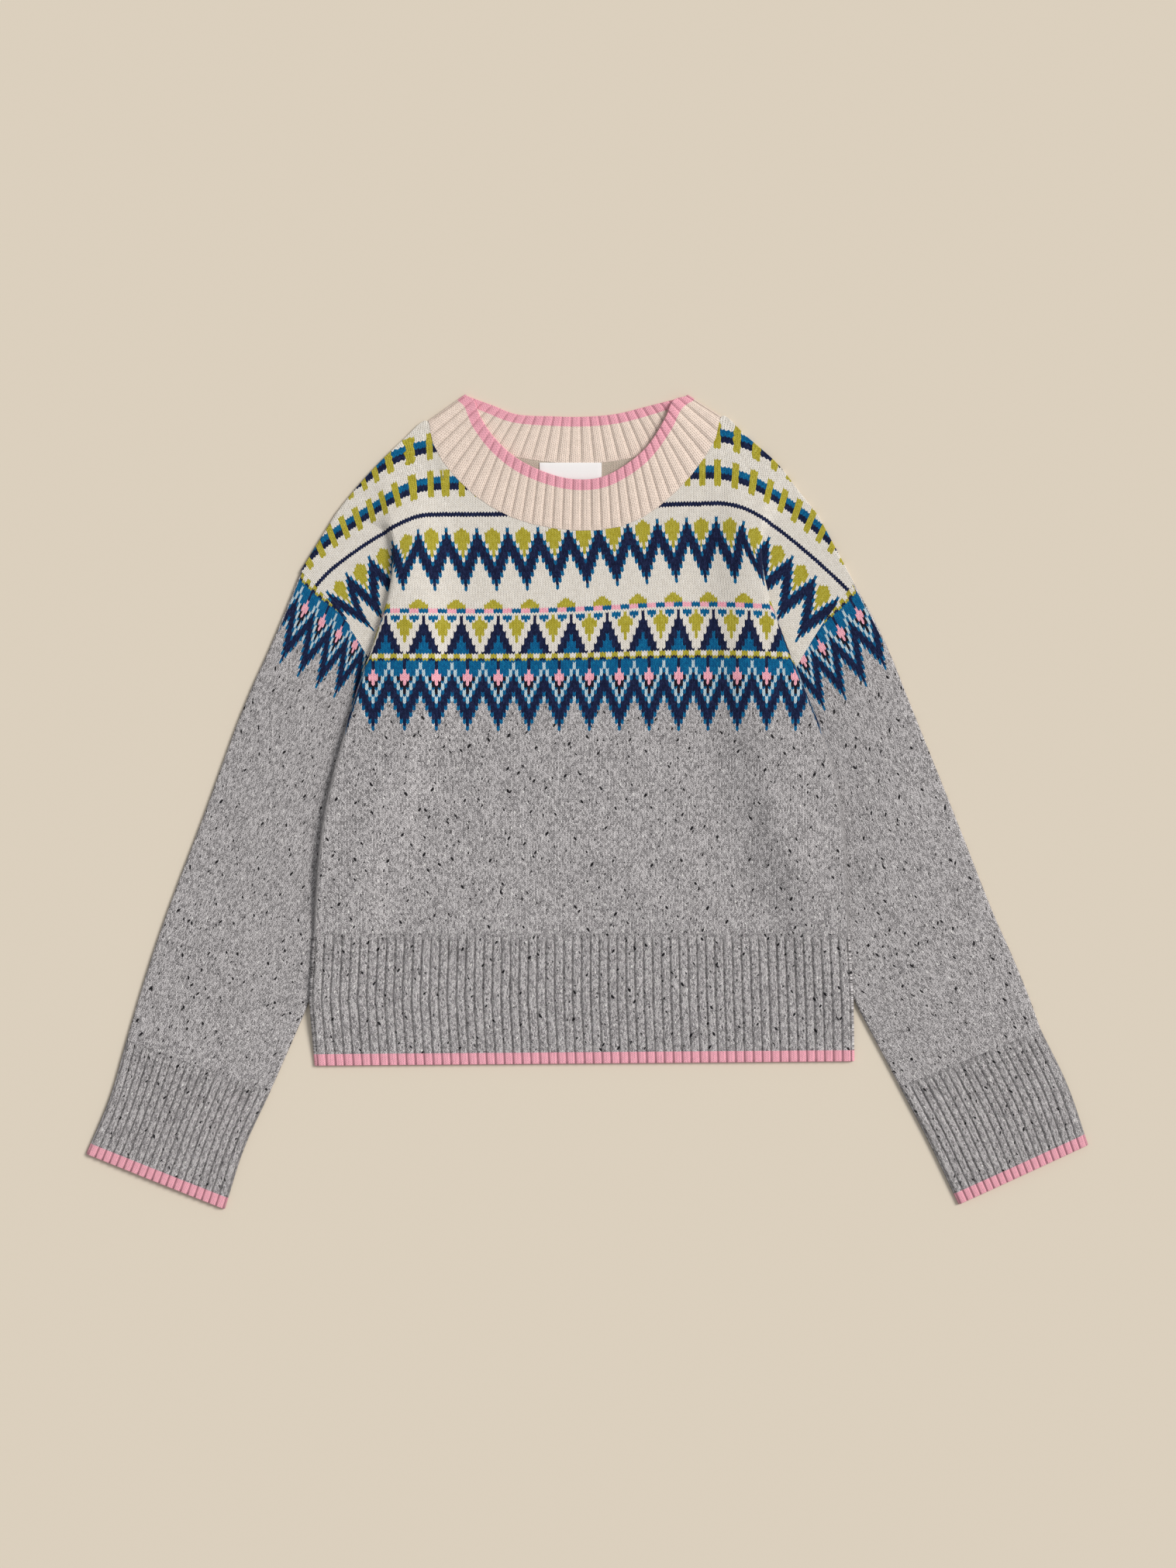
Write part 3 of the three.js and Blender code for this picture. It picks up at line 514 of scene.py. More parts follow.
def refine(grid, counts, closed=False):
    """Adds points along the first axis on smooth curves, counts[k] steps in interval k."""
    if closed:
        grid = np.concatenate([grid, grid[:1]])
    gap = np.diff(grid, axis=0)
    size = np.linalg.norm(gap, axis=-1, keepdims=True) + 1e-9
    slope = gap / size
    inner = (slope[:-1] * size[1:] + slope[1:] * size[:-1]) / (size[:-1] + size[1:])
    first, last = slope[:1], slope[-1:]
    if closed:
        joined = (slope[-1:] * size[:1] + slope[:1] * size[-1:]) / (size[:1] + size[-1:])
        first = last = joined
    tangent = np.concatenate([first, inner, last])
    before = np.concatenate([size[-1:] if closed else size[:1], size[:-1]])
    after = np.concatenate([size[1:], size[:1] if closed else size[-1:]])
    leave = tangent[:-1] * np.minimum(size, before * SWING)
    arrive = tangent[1:] * np.minimum(size, after * SWING)
    rows = []
    for k, count in enumerate(counts):
        t = (np.arange(count) / count)[:, None, None]
        rows.append(hermite(grid[k], leave[k], grid[k + 1], arrive[k], t))
    if not closed:
        rows.append(grid[-1:])
    return np.concatenate(rows)


def fine_places(counts, closed=False):
    """Where each fine point lies among the coarse ones, and the end point of a closed ring."""
    places = [k + i / count for k, count in enumerate(counts) for i in range(count)]
    return np.array(places + [len(counts)])


def swap(grid):
    return np.swapaxes(grid, 0, 1)


def wall_mesh(name, grid, stitches, raised=0, raised_inside=0, closed=False, present=None, roll=None,
              purl=None):
    """A wall of even thickness about a grid of middle points, with the stitch place of each corner.

    The face named by purl, outer or inner, is marked as the cloth's plain inside."""
    rows, columns = grid.shape[:2]
    cell_columns = columns if closed else columns - 1
    if present is None:
        present = np.ones((rows - 1, cell_columns), bool)
    if closed:
        across = np.roll(grid, -1, 1) - np.roll(grid, 1, 1)
    else:
        across = np.gradient(grid, axis=1)
    down = np.gradient(grid, axis=0)
    normal = np.cross(down, across)
    normal /= np.linalg.norm(normal, axis=-1, keepdims=True) + 1e-12
    half = np.full((rows, columns), WALL / 2)
    outer = grid + normal * (half + raised)[..., None]
    inner = grid - normal * (half + raised_inside)[..., None]
    points = [outer.reshape(-1, 3), inner.reshape(-1, 3)]
    number = np.arange(rows * columns).reshape(rows, columns)
    below = rows * columns
    j, i = np.nonzero(present)
    i2 = (i + 1) % columns if closed else i + 1
    a, b, c, d = number[j, i], number[j + 1, i], number[j + 1, i2], number[j, i2]
    faces = [np.stack([a, b, c, d], 1), np.stack([a, d, c, b], 1) + below]
    st = [stitches[j, i], stitches[j + 1, i], stitches[j + 1, i + 1], stitches[j, i + 1]]
    corners = [np.stack(st, 1), np.stack([st[0], st[3], st[2], st[1]], 1)]
    if purl:
        corners[("outer", "inner").index(purl)][..., 2] = 0
    rims = rim_faces(grid, present, closed, roll or {})
    points.append(rims["points"])
    for face, places in rims["faces"]:
        numbers = [n if kind == "outer" else n + below if kind == "inner" else n + 2 * below
                   for kind, n in face]
        faces.append(np.array([numbers]))
        corners.append(np.array([[stitches[place] for place in places]]))
    return make_mesh(name, np.concatenate(points), np.concatenate(faces), np.concatenate(corners))


def rim_faces(grid, present, closed, roll):
    """The narrow faces that close a wall's edges, rounded out by roll on each named side."""
    rows, columns = grid.shape[:2]
    sides = [
        ("start", (0, -1), (0, 0), (1, 0)),
        ("foot", (1, 0), (1, 0), (1, 1)),
        ("end", (0, 1), (1, 1), (0, 1)),
        ("head", (-1, 0), (0, 1), (0, 0)),
    ]
    push = {}
    edges = []
    cell_rows, cell_columns = present.shape
    for j, i in zip(*np.nonzero(present)):
        for side, (dj, di), first, second in sides:
            nj, ni = j + dj, i + di
            if closed:
                ni %= cell_columns
            inside = 0 <= nj < cell_rows and 0 <= ni < cell_columns and present[nj, ni]
            if inside:
                continue
            ends = [(j + first[0], i + first[1]), (j + second[0], i + second[1])]
            for row, column in ends:
                back_row, back_column = row - dj, column - di
                wrapped = column % columns
                away = grid[row, wrapped] - grid[back_row, back_column % columns]
                away = away / (np.linalg.norm(away) + 1e-9) * roll.get(side, 0)
                push.setdefault((row, wrapped), []).append(away)
            edges.append(ends)
    numbers = {}
    points = []
    for (row, column), aways in push.items():
        numbers[row, column] = len(points)
        points.append(grid[row, column] + np.mean(aways, axis=0))
    faces = []
    for (row_a, col_a), (row_b, col_b) in edges:
        a = row_a * columns + col_a % columns
        b = row_b * columns + col_b % columns
        mid_a = numbers[row_a, col_a % columns]
        mid_b = numbers[row_b, col_b % columns]
        places = [(row_b, col_b), (row_a, col_a), (row_a, col_a), (row_b, col_b)]
        faces.append(([("outer", b), ("outer", a), ("mid", mid_a), ("mid", mid_b)], places))
        faces.append(([("mid", mid_b), ("mid", mid_a), ("inner", a), ("inner", b)], places))
    return {"points": np.array(points).reshape(-1, 3), "faces": faces}


def make_mesh(name, points, faces, corners):
    """A smooth mesh in metres that keeps the stitch place of each face corner."""
    used = np.unique(faces)
    lookup = np.zeros(len(points), int)
    lookup[used] = np.arange(len(used))
    mesh = bpy.data.meshes.new(name)
    mesh.from_pydata((points[used] * MM).tolist(), [], lookup[faces].tolist())
    mesh.attributes.new("stitch", "FLOAT_VECTOR", "CORNER")
    mesh.attributes["stitch"].data.foreach_set("vector", corners.reshape(-1).astype(np.float32))
    mesh.shade_smooth()
    mesh.set_sharp_from_angle(angle=math.radians(60))
    piece = bpy.data.objects.new(name, mesh)
    bpy.context.scene.collection.objects.link(piece)
    return piece


def chest_wale(x):
    even = (x - 0.5) / STITCH_WIDTH
    return even + 0.000344 * even**2


def along_bend(name, x, y):
    """Distance along the navy line on one shoulder, and how far below it each point lies."""
    curve = curve_through(BENDS[name].line)
    points = np.array([curve(share) for share in np.linspace(0, 1, BEND_SAMPLES)])
    tangents = np.gradient(points, axis=0)
    tangents /= np.linalg.norm(tangents, axis=1, keepdims=True)
    travelled = np.concatenate([[0], np.cumsum(np.linalg.norm(np.diff(points, axis=0), axis=1))])
    away = np.stack([x, y], -1)[..., None, :] - points
    nearest = np.argmin((away**2).sum(-1), -1)
    rest = np.stack([x, y], -1) - points[nearest]
    tangent = tangents[nearest]
    along = travelled[nearest] + (rest * tangent).sum(-1)
    depth = SIDES[name]["out"] * (rest[..., 0] * tangent[..., 1] - rest[..., 1] * tangent[..., 0])
    return along, depth


def body_stitches(grid, places):
    """Wale and course of each point of a panel, which bend over the shoulders."""
    x, y = grid[..., 0], grid[..., 1]
    rise = YOKE_RISE * np.exp(-((x - YOKE_RISE_X) / YOKE_RISE_WIDTH) ** 2) * smooth((y - 60) / 190)
    lean_x = YOKE_SHIFT * smooth((y - 160) / 110)
    chest = np.stack([chest_wale(x + lean_x), (FIRST_COURSE_Y + rise - y) / STITCH_HEIGHT], -1)
    row_place, column_place = places
    flat = smooth((row_place - 4) / 2.5)[:, None]
    result = chest
    for name, bend in BENDS.items():
        out = SIDES[name]["out"]
        along, depth = along_bend(name, x, y)
        settled = smooth(along / BEND_REACH)
        pitch = np.where(depth > 0, PITCH_BELOW_LINE + PITCH_GROWTH * depth, PITCH_ABOVE_LINE)
        height = mix(STITCH_HEIGHT, pitch, settled)
        reach = along / bend.width - bend.lean * depth * settled
        start = chest_wale(bend.line[0][0] + YOKE_SHIFT)
        bent = np.stack([start + out * reach, LINE_COURSE + depth / height], -1)
        column = column_place if out < 0 else 2 * CENTRE_COLUMN - column_place
        on_chest = smooth((column - UNDER_END_COLUMN) / (CREST_COLUMN - UNDER_END_COLUMN))
        keep = on_chest[None, :] * flat
        weight = np.where(along > 0, 1 - keep, 0)[..., None]
        result = result * (1 - weight) + bent * weight
    return np.concatenate([result, np.ones_like(x)[..., None]], -1)


def panel(name):
    layer = LAYERS[name]
    coarse = []
    for j in range(len(PANEL_ROWS)):
        left = half_row("left", layer, j)
        right = half_row("right", layer, j)
        coarse.append(left + right[-2::-1])
    coarse = np.array(coarse)
    row_counts = steps_between(coarse[:, CREST_COLUMN:-CREST_COLUMN])
    column_counts = steps_between(swap(coarse))
    grid = swap(refine(swap(refine(coarse, row_counts)), column_counts))
    places = fine_places(row_counts), fine_places(column_counts)
    if name == "front":
        top = (places[1] > CREST_COLUMN) & (places[1] < 2 * CENTRE_COLUMN - CREST_COLUMN)
        grid[..., 2] += np.where(top, body_loft(grid[..., 0], grid[..., 1]), 0)
    rows = np.floor((places[0][:-1] + places[0][1:]) / 2)[:, None]
    columns = np.floor((places[1][:-1] + places[1][1:]) / 2)[None, :]
    column = np.minimum(columns, 2 * CENTRE_COLUMN - 1 - columns)
    present = np.where(rows >= FOLD_END_ROW, column >= CREST_COLUMN - layer["edge_columns"],
                       np.where(rows >= UNDERARM_ROW, column >= UNDER_END_COLUMN, True))
    stitches = body_stitches(grid, places)
    return wall_mesh(name, grid, stitches, present=present, purl=layer["purl"],
                     roll={"head": EDGE_ROLL})


def groove(step):
    """The rib's outer form at a stitch: two raised wales, then a narrow groove."""
    distance = np.abs((step + RIB_STITCHES / 2) % RIB_STITCHES - RIB_STITCHES / 2)
    dip = np.exp(-((distance / GROOVE_WIDTH) ** 2))
    return RIB_CREST - (RIB_CREST + GROOVE_DEPTH) * dip


def rib_stitches(grid, step, from_edge, raised):
    """Wale, course counted from the free edge, and how far the rib stands up."""
    shape = (len(from_edge), len(step))
    wale = np.broadcast_to(step[None, :] + 0.5, shape)
    course = np.broadcast_to(from_edge[:, None], shape)
    level = (raised + GROOVE_DEPTH) / (RIB_CREST + GROOVE_DEPTH)
    return np.stack([wale, course, np.broadcast_to(level, shape)], -1)


def creases(x, y):
    """The rise and fall of all the creases at a place."""
    total = 0 * x
    for crease in CREASES:
        start, end = np.array(crease.start, float), np.array(crease.end, float)
        length = math.dist(start, end)
        along = ((x - start[0]) * (end[0] - start[0]) + (y - start[1]) * (end[1] - start[1])) / length
        aside = ((x - start[0]) * (end[1] - start[1]) - (y - start[1]) * (end[0] - start[0])) / length
        beyond = np.maximum(np.abs(along - length / 2) - length / 4, 0) / (length / 4 + crease.width)
        total = total + crease.rise * np.exp(-((aside / crease.width) ** 2)) * (1 - smooth(beyond))
    return total


def body_loft(x, y):
    """How far the front stands off the back between its folds, creases included."""
    inward = np.minimum(x - read_table(BODY_EDGE, y, "left"), read_table(BODY_EDGE, y, "right") - x)
    fade = smooth((inward - LOFT_START) / LOFT_REACH)
    fade = fade * smooth((LOFT_TOP - y) / LOFT_TOP_REACH) * smooth((y - LOFT_FOOT) / LOFT_FOOT_REACH)
    return np.maximum(BODY_LOFT + creases(x, y), 0) * fade


def hem(name):
    """The hem rib of the front, or of the back with its ribs underneath left plain."""
    front = name == "hem_front"
    level = UPPER_LAYER if front else FLOOR_LAYER
    rib_steps = HEM_RIBS * RIB_STITCHES
    downs = np.linspace(0, 1, HEM_ROWS + 1)
    turn_steps = 4
    coarse = []
    for down in downs:
        def y_at(share):
            return mix(HEM_TOP_Y, mix(HEM_BOTTOM["left"], HEM_BOTTOM["right"], share), down)
        left = read_table(BODY_EDGE, y_at(0), "left") + SIDE_TURN + WALL / 2
        right = read_table(BODY_EDGE, y_at(1), "right") - SIDE_TURN - WALL / 2
        share = np.linspace(0, 1, rib_steps * (RIB_DETAIL if front else 1) + 1)
        x = mix(left, right, share)
        y = mix(y_at(0), y_at(1), share)
        z = level + body_lift(x, y)
        if front:
            z = z + body_loft(x, y)
        row = np.stack([x, y, z], -1)
        if front:
            angle = np.linspace(0, math.pi / 2, turn_steps + 1)[1:]
            reach = np.stack([np.sin(angle), 0 * angle, np.cos(angle) - 1], -1) * SIDE_TURN
            row = np.concatenate([row[0] + (reach * (-1, 1, 1))[::-1], row, row[-1] + reach])
        coarse.append(row)
    grid = np.array(coarse)
    if front:
        step = np.linspace(0, rib_steps, rib_steps * RIB_DETAIL + 1)
        step = np.concatenate([np.full(turn_steps, 0.4), step, np.full(turn_steps, rib_steps - 0.4)])
    else:
        step = np.linspace(0, rib_steps, rib_steps + 1)
    start = smooth(downs / RIB_START)[:, None]
    raised = groove(step)[None, :] * start
    from_edge = (1 - downs) * (HEM_TOP_Y - HEM_BOTTOM["left"]) / STITCH_HEIGHT
    stitches = rib_stitches(grid, step, from_edge, raised)
    return wall_mesh(name, grid, stitches, raised=raised if front else 0, roll={"foot": EDGE_ROLL})


def flat_tube(stations, faces, crown, start_line=None):
    """A tube pressed flat: over from the outer edge to the inner one, and back underneath."""
    outer_edge = curve_through([station.outer for station in stations])
    inner_edge = curve_through([station.inner for station in stations])
    opens = [station.open for station in stations]
    inset = TUBE_TURN + WALL / 2
    grid = []
    for j in range(faces["rows"] + 1):
        share = j / faces["rows"]
        start, end = outer_edge(share), inner_edge(share)
        width = math.dist(start, end)
        across = (end - start) / width
        fade = 1 - smooth(share / START_LINE_REACH)
        open_share = np.interp(share * (len(opens) - 1), range(len(opens)), opens)

        def at(distance, z):
            place = min(max(distance / width, 0), 1)
            spot = start + across * distance
            if start_line:
                straight = mix(stations[0].outer, stations[0].inner, place)
                spot = spot + (start_line(place) - straight) * fade
            return (*spot, z)

        span = width - 2 * inset
        points = []
        for i in range(faces["top"]):
            place = i / faces["top"]
            puff = crown(share) * math.sin(math.pi * min(place / open_share, 1))
            points.append(at(inset + span * place, UPPER_LAYER + puff))
        for i in range(TUBE_TURN_STEPS):
            angle = math.pi * i / TUBE_TURN_STEPS
            points.append(at(width - inset + TUBE_TURN * math.sin(angle),
                             FLOOR_LAYER + TUBE_TURN * (1 + math.cos(angle))))
        for i in range(faces["under"]):
            points.append(at(width - inset - span * i / faces["under"], FLOOR_LAYER))
        for i in range(TUBE_TURN_STEPS):
            angle = math.pi * i / TUBE_TURN_STEPS
            points.append(at(inset - TUBE_TURN * math.sin(angle),
                             FLOOR_LAYER + TUBE_TURN * (1 - math.cos(angle))))
        grid.append(points)
    return np.array(grid)


def along_ring(grid):
    """Distance along each row of a closed grid, with the closing point."""
    ring = np.concatenate([grid, grid[:, :1]], axis=1)
    gaps = np.linalg.norm(np.diff(ring, axis=1), axis=-1)
    return np.concatenate([np.zeros((len(grid), 1)), np.cumsum(gaps, axis=1)], axis=1)


def armhole_line(name):
    seam = curve_through(SIDES[name]["armhole"])
    stops = [row.armhole for row in PANEL_ROWS[:UNDERARM_ROW + 1]] + [1]
    corners = np.array([seam(stop) for stop in stops])
    return lambda share: np.array([np.interp(share, stops, corners[:, k]) for k in (0, 1)])


def sleeve(name):
    coarse = flat_tube(SLEEVE_STATIONS[name], SLEEVE_FACES,
                       lambda share: SLEEVE_CROWN * smooth(share / CROWN_REACH), armhole_line(name))
    row_counts = steps_between(coarse)
    column_counts = steps_between(np.concatenate([swap(coarse), swap(coarse)[:1]]))
    grid = refine(coarse, row_counts)
    grid = swap(refine(swap(grid), column_counts, closed=True))
    across = np.clip(fine_places(column_counts)[:-1] / SLEEVE_FACES["top"], 0, 1)
    lengthwise = np.sin(np.pi * fine_places(row_counts) / len(row_counts))[:, None] ** 0.5
    grid[..., 2] += creases(grid[..., 0], grid[..., 1]) * np.sin(np.pi * across) * lengthwise
    knit = SLEEVE_KNIT[name]
    down = (fine_places(row_counts) / len(row_counts))[:, None]
    travelled = along_ring(grid)
    width = np.linalg.norm(grid[:, 0] - grid[:, sum(column_counts[:SLEEVE_FACES["top"]])], axis=-1)
    count = mix(knit.top, knit.cuff, down)
    out = SIDES[name]["out"]
    place = travelled / width[:, None]
    wale = knit.first + knit.top / 2 + (place - 0.5) * count
    length = np.linalg.norm(np.diff(grid, axis=0), axis=-1).sum(axis=0).mean()
    hidden = SLEEVE_COURSES_HIDDEN * np.clip(place, 0, 1) ** 2
    course = SLEEVE_COURSE + down * length / SLEEVE_COURSE_HEIGHT + hidden
    stitches = np.stack([wale * -out, course, np.ones_like(wale)], -1)
    if out > 0:
        grid, stitches = reverse_ring(grid, stitches)
    return wall_mesh(f"sleeve_{name}", grid, stitches, closed=True, purl="inner")


def reverse_ring(grid, stitches, *others):
    """Turns a closed grid's columns round, so that its outer side faces out."""
    turned = np.roll(grid[:, ::-1], 1, axis=1)
    rest = [np.roll(other[..., ::-1], 1, axis=-1) for other in others]
    return [turned, stitches[:, ::-1], *rest]


def cuff(name):
    coarse = flat_tube(CUFF_STATIONS[name], CUFF_FACES, lambda share: SLEEVE_CROWN * (1 - share / 2))
    row_counts = [14, 14]
    top = CUFF_FACES["top"]
    turn = [1] * TUBE_TURN_STEPS
    column_counts = [RIB_DETAIL] * top + turn + [8] * CUFF_FACES["under"] + turn
    grid = refine(coarse, row_counts)
    grid = swap(refine(swap(grid), column_counts, closed=True))
    step = fine_places(column_counts)
    down = fine_places(row_counts) / len(row_counts)
    start = smooth(down / RIB_START)[:, None]
    raised = np.where(step <= top, groove(step), 0)[None, :] * start
    length = np.linalg.norm(np.diff(grid, axis=0), axis=-1).sum(axis=0).mean()
    stitches = rib_stitches(grid, step, (1 - down) * length / STITCH_HEIGHT, raised)
    raised = raised[:, :-1]
    if SIDES[name]["out"] > 0:
        grid, stitches, raised = reverse_ring(grid, stitches, raised)
    return wall_mesh(f"cuff_{name}", grid, stitches, raised=raised, closed=True,
                     roll={"foot": EDGE_ROLL})


def neck_seam(points, start, end):
    whole = curve_through([SIDES["left"]["neck_point"], *points, SIDES["right"]["neck_point"]])
    stops = np.linspace(0, 1, 2 * NECK_COLUMNS + 1)
    corners = np.array([whole(stop) for stop in stops])
    corners[0], corners[-1] = start, end
    return lambda share: np.array([np.interp(share, stops, corners[:, k]) for k in (0, 1)])


def collar_corner(name):
    side = SIDES[name]
    seam, edge = np.array(side["neck_point"], float), np.array(side["collar_point"], float)
    along = (edge - seam) / np.linalg.norm(edge - seam)
    away = np.array([-along[1], along[0]]) * -side["out"]
    inset = TUBE_TURN + WALL / 2
    return {"seam": seam - away * inset + along * CORNER_SEAM_RISE, "edge": edge - away * inset,
            "away": away}


def fanned(share):
    """Spreads the ribs' seam ends, close together at the front and wide apart at the shoulders."""
    return share + NECK_FAN * math.sin(2 * math.pi * share) / (2 * math.pi)


def neckband():
    """One ring of rib: the front half stands on the back half, which shows its inner side."""
    left, right = collar_corner("left"), collar_corner("right")
    front_seam = neck_seam(NECK_SEAM_FRONT, left["seam"], right["seam"])
    back_seam = neck_seam(NECK_SEAM_BACK, left["seam"], right["seam"])
    front_edge = curve_through([left["edge"], *COLLAR_EDGE_FRONT, right["edge"]])
    back_edge = curve_through([right["edge"], *COLLAR_EDGE_BACK[::-1], left["edge"]])
    front_steps = NECK_FRONT_RIBS * RIB_STITCHES
    back_steps = NECK_BACK_RIBS * RIB_STITCHES
    stations = []
    for i in range(front_steps + 1):
        share = i / front_steps
        stand = NECK_STAND * math.sin(math.pi * share)
        stand += NECK_RIGHT_STAND * smooth((share - 0.45) / 0.3) * smooth((1 - share) / 0.08)
        stations.append((front_seam(fanned(share)), front_edge(share), UPPER_LAYER, stand))
    turn = range(1, TUBE_TURN_STEPS)

    def corner(place, falling):
        for i in turn:
            angle = math.pi * i / TUBE_TURN_STEPS
            reach = place["away"] * TUBE_TURN * math.sin(angle)
            z = FLOOR_LAYER + TUBE_TURN * (1 + falling * math.cos(angle))
            stations.append((place["seam"] + reach, place["edge"] + reach, z, 0))

    corner(right, 1)
    for i in range(back_steps + 1):
        share = i / back_steps
        stations.append((back_seam(1 - share), back_edge(share), FLOOR_LAYER, 0))
    corner(left, -1)
    ups = np.linspace(1, 0, NECK_ROWS + 1)
    coarse = []
    for up in ups:
        row = []
        for seam, edge, level, stand in stations:
            share = up - (1 - up) * NECK_SEAM_LAP / math.dist(seam, edge)
            row.append((*mix(seam, edge, share), level + stand * up + NECK_SEAM_RAISE * (1 - up)))
        coarse.append(row)
    counts = [4] * len(stations)
    grid = swap(refine(swap(np.array(coarse)), counts, closed=True))
    step = fine_places(counts)
    back_start = front_steps + TUBE_TURN_STEPS
    on_front = step <= front_steps
    on_back = (step >= back_start) & (step <= back_start + back_steps)
    ribbed = np.where(on_back, step - back_start, step)
    seam_fade = smooth(ups / RIB_START)[:, None]
    profile = groove(ribbed)[None, :] * seam_fade
    raised = np.where(on_front, profile, 0)
    inside = np.where(on_back, profile, 0)
    depth = NECK_DEPTH / STITCH_HEIGHT
    stitches = rib_stitches(grid, ribbed, (1 - ups) * depth, np.where(on_front | on_back, profile, 0))
    return wall_mesh("neckband", grid, stitches, raised=raised[:, :-1], raised_inside=inside[:, :-1],
                     closed=True, roll={"head": EDGE_ROLL})


class Num:
    """A number that a shader works out, written as plain arithmetic."""

    def __init__(self, tree, socket):
        self.tree = tree
        self.socket = socket

    def math(self, operation, *others):
        node = self.tree.nodes.new("ShaderNodeMath")
        node.operation = operation
        for place, value in enumerate((self, *others)):
            if isinstance(value, Num):
                self.tree.links.new(value.socket, node.inputs[place])
            else:
                node.inputs[place].default_value = value
        return Num(self.tree, node.outputs[0])

    def __neg__(self):
        return self * -1

    def ramp(self, start, end):
        node = self.tree.nodes.new("ShaderNodeMapRange")
        node.interpolation_type = "SMOOTHSTEP"
        self.tree.links.new(self.socket, node.inputs["Value"])
        node.inputs["From Min"].default_value = start
        node.inputs["From Max"].default_value = end
        return Num(self.tree, node.outputs["Result"])


OPERATIONS = {
    "__add__": "ADD", "__sub__": "SUBTRACT", "__mul__": "MULTIPLY", "__truediv__": "DIVIDE",
    "__pow__": "POWER", "floor": "FLOOR", "fract": "FRACT", "abs": "ABSOLUTE",
    "at_least": "MAXIMUM", "above": "GREATER_THAN", "below": "LESS_THAN",
}
for method, operation in OPERATIONS.items():
    setattr(Num, method, partialmethod(Num.math, operation))


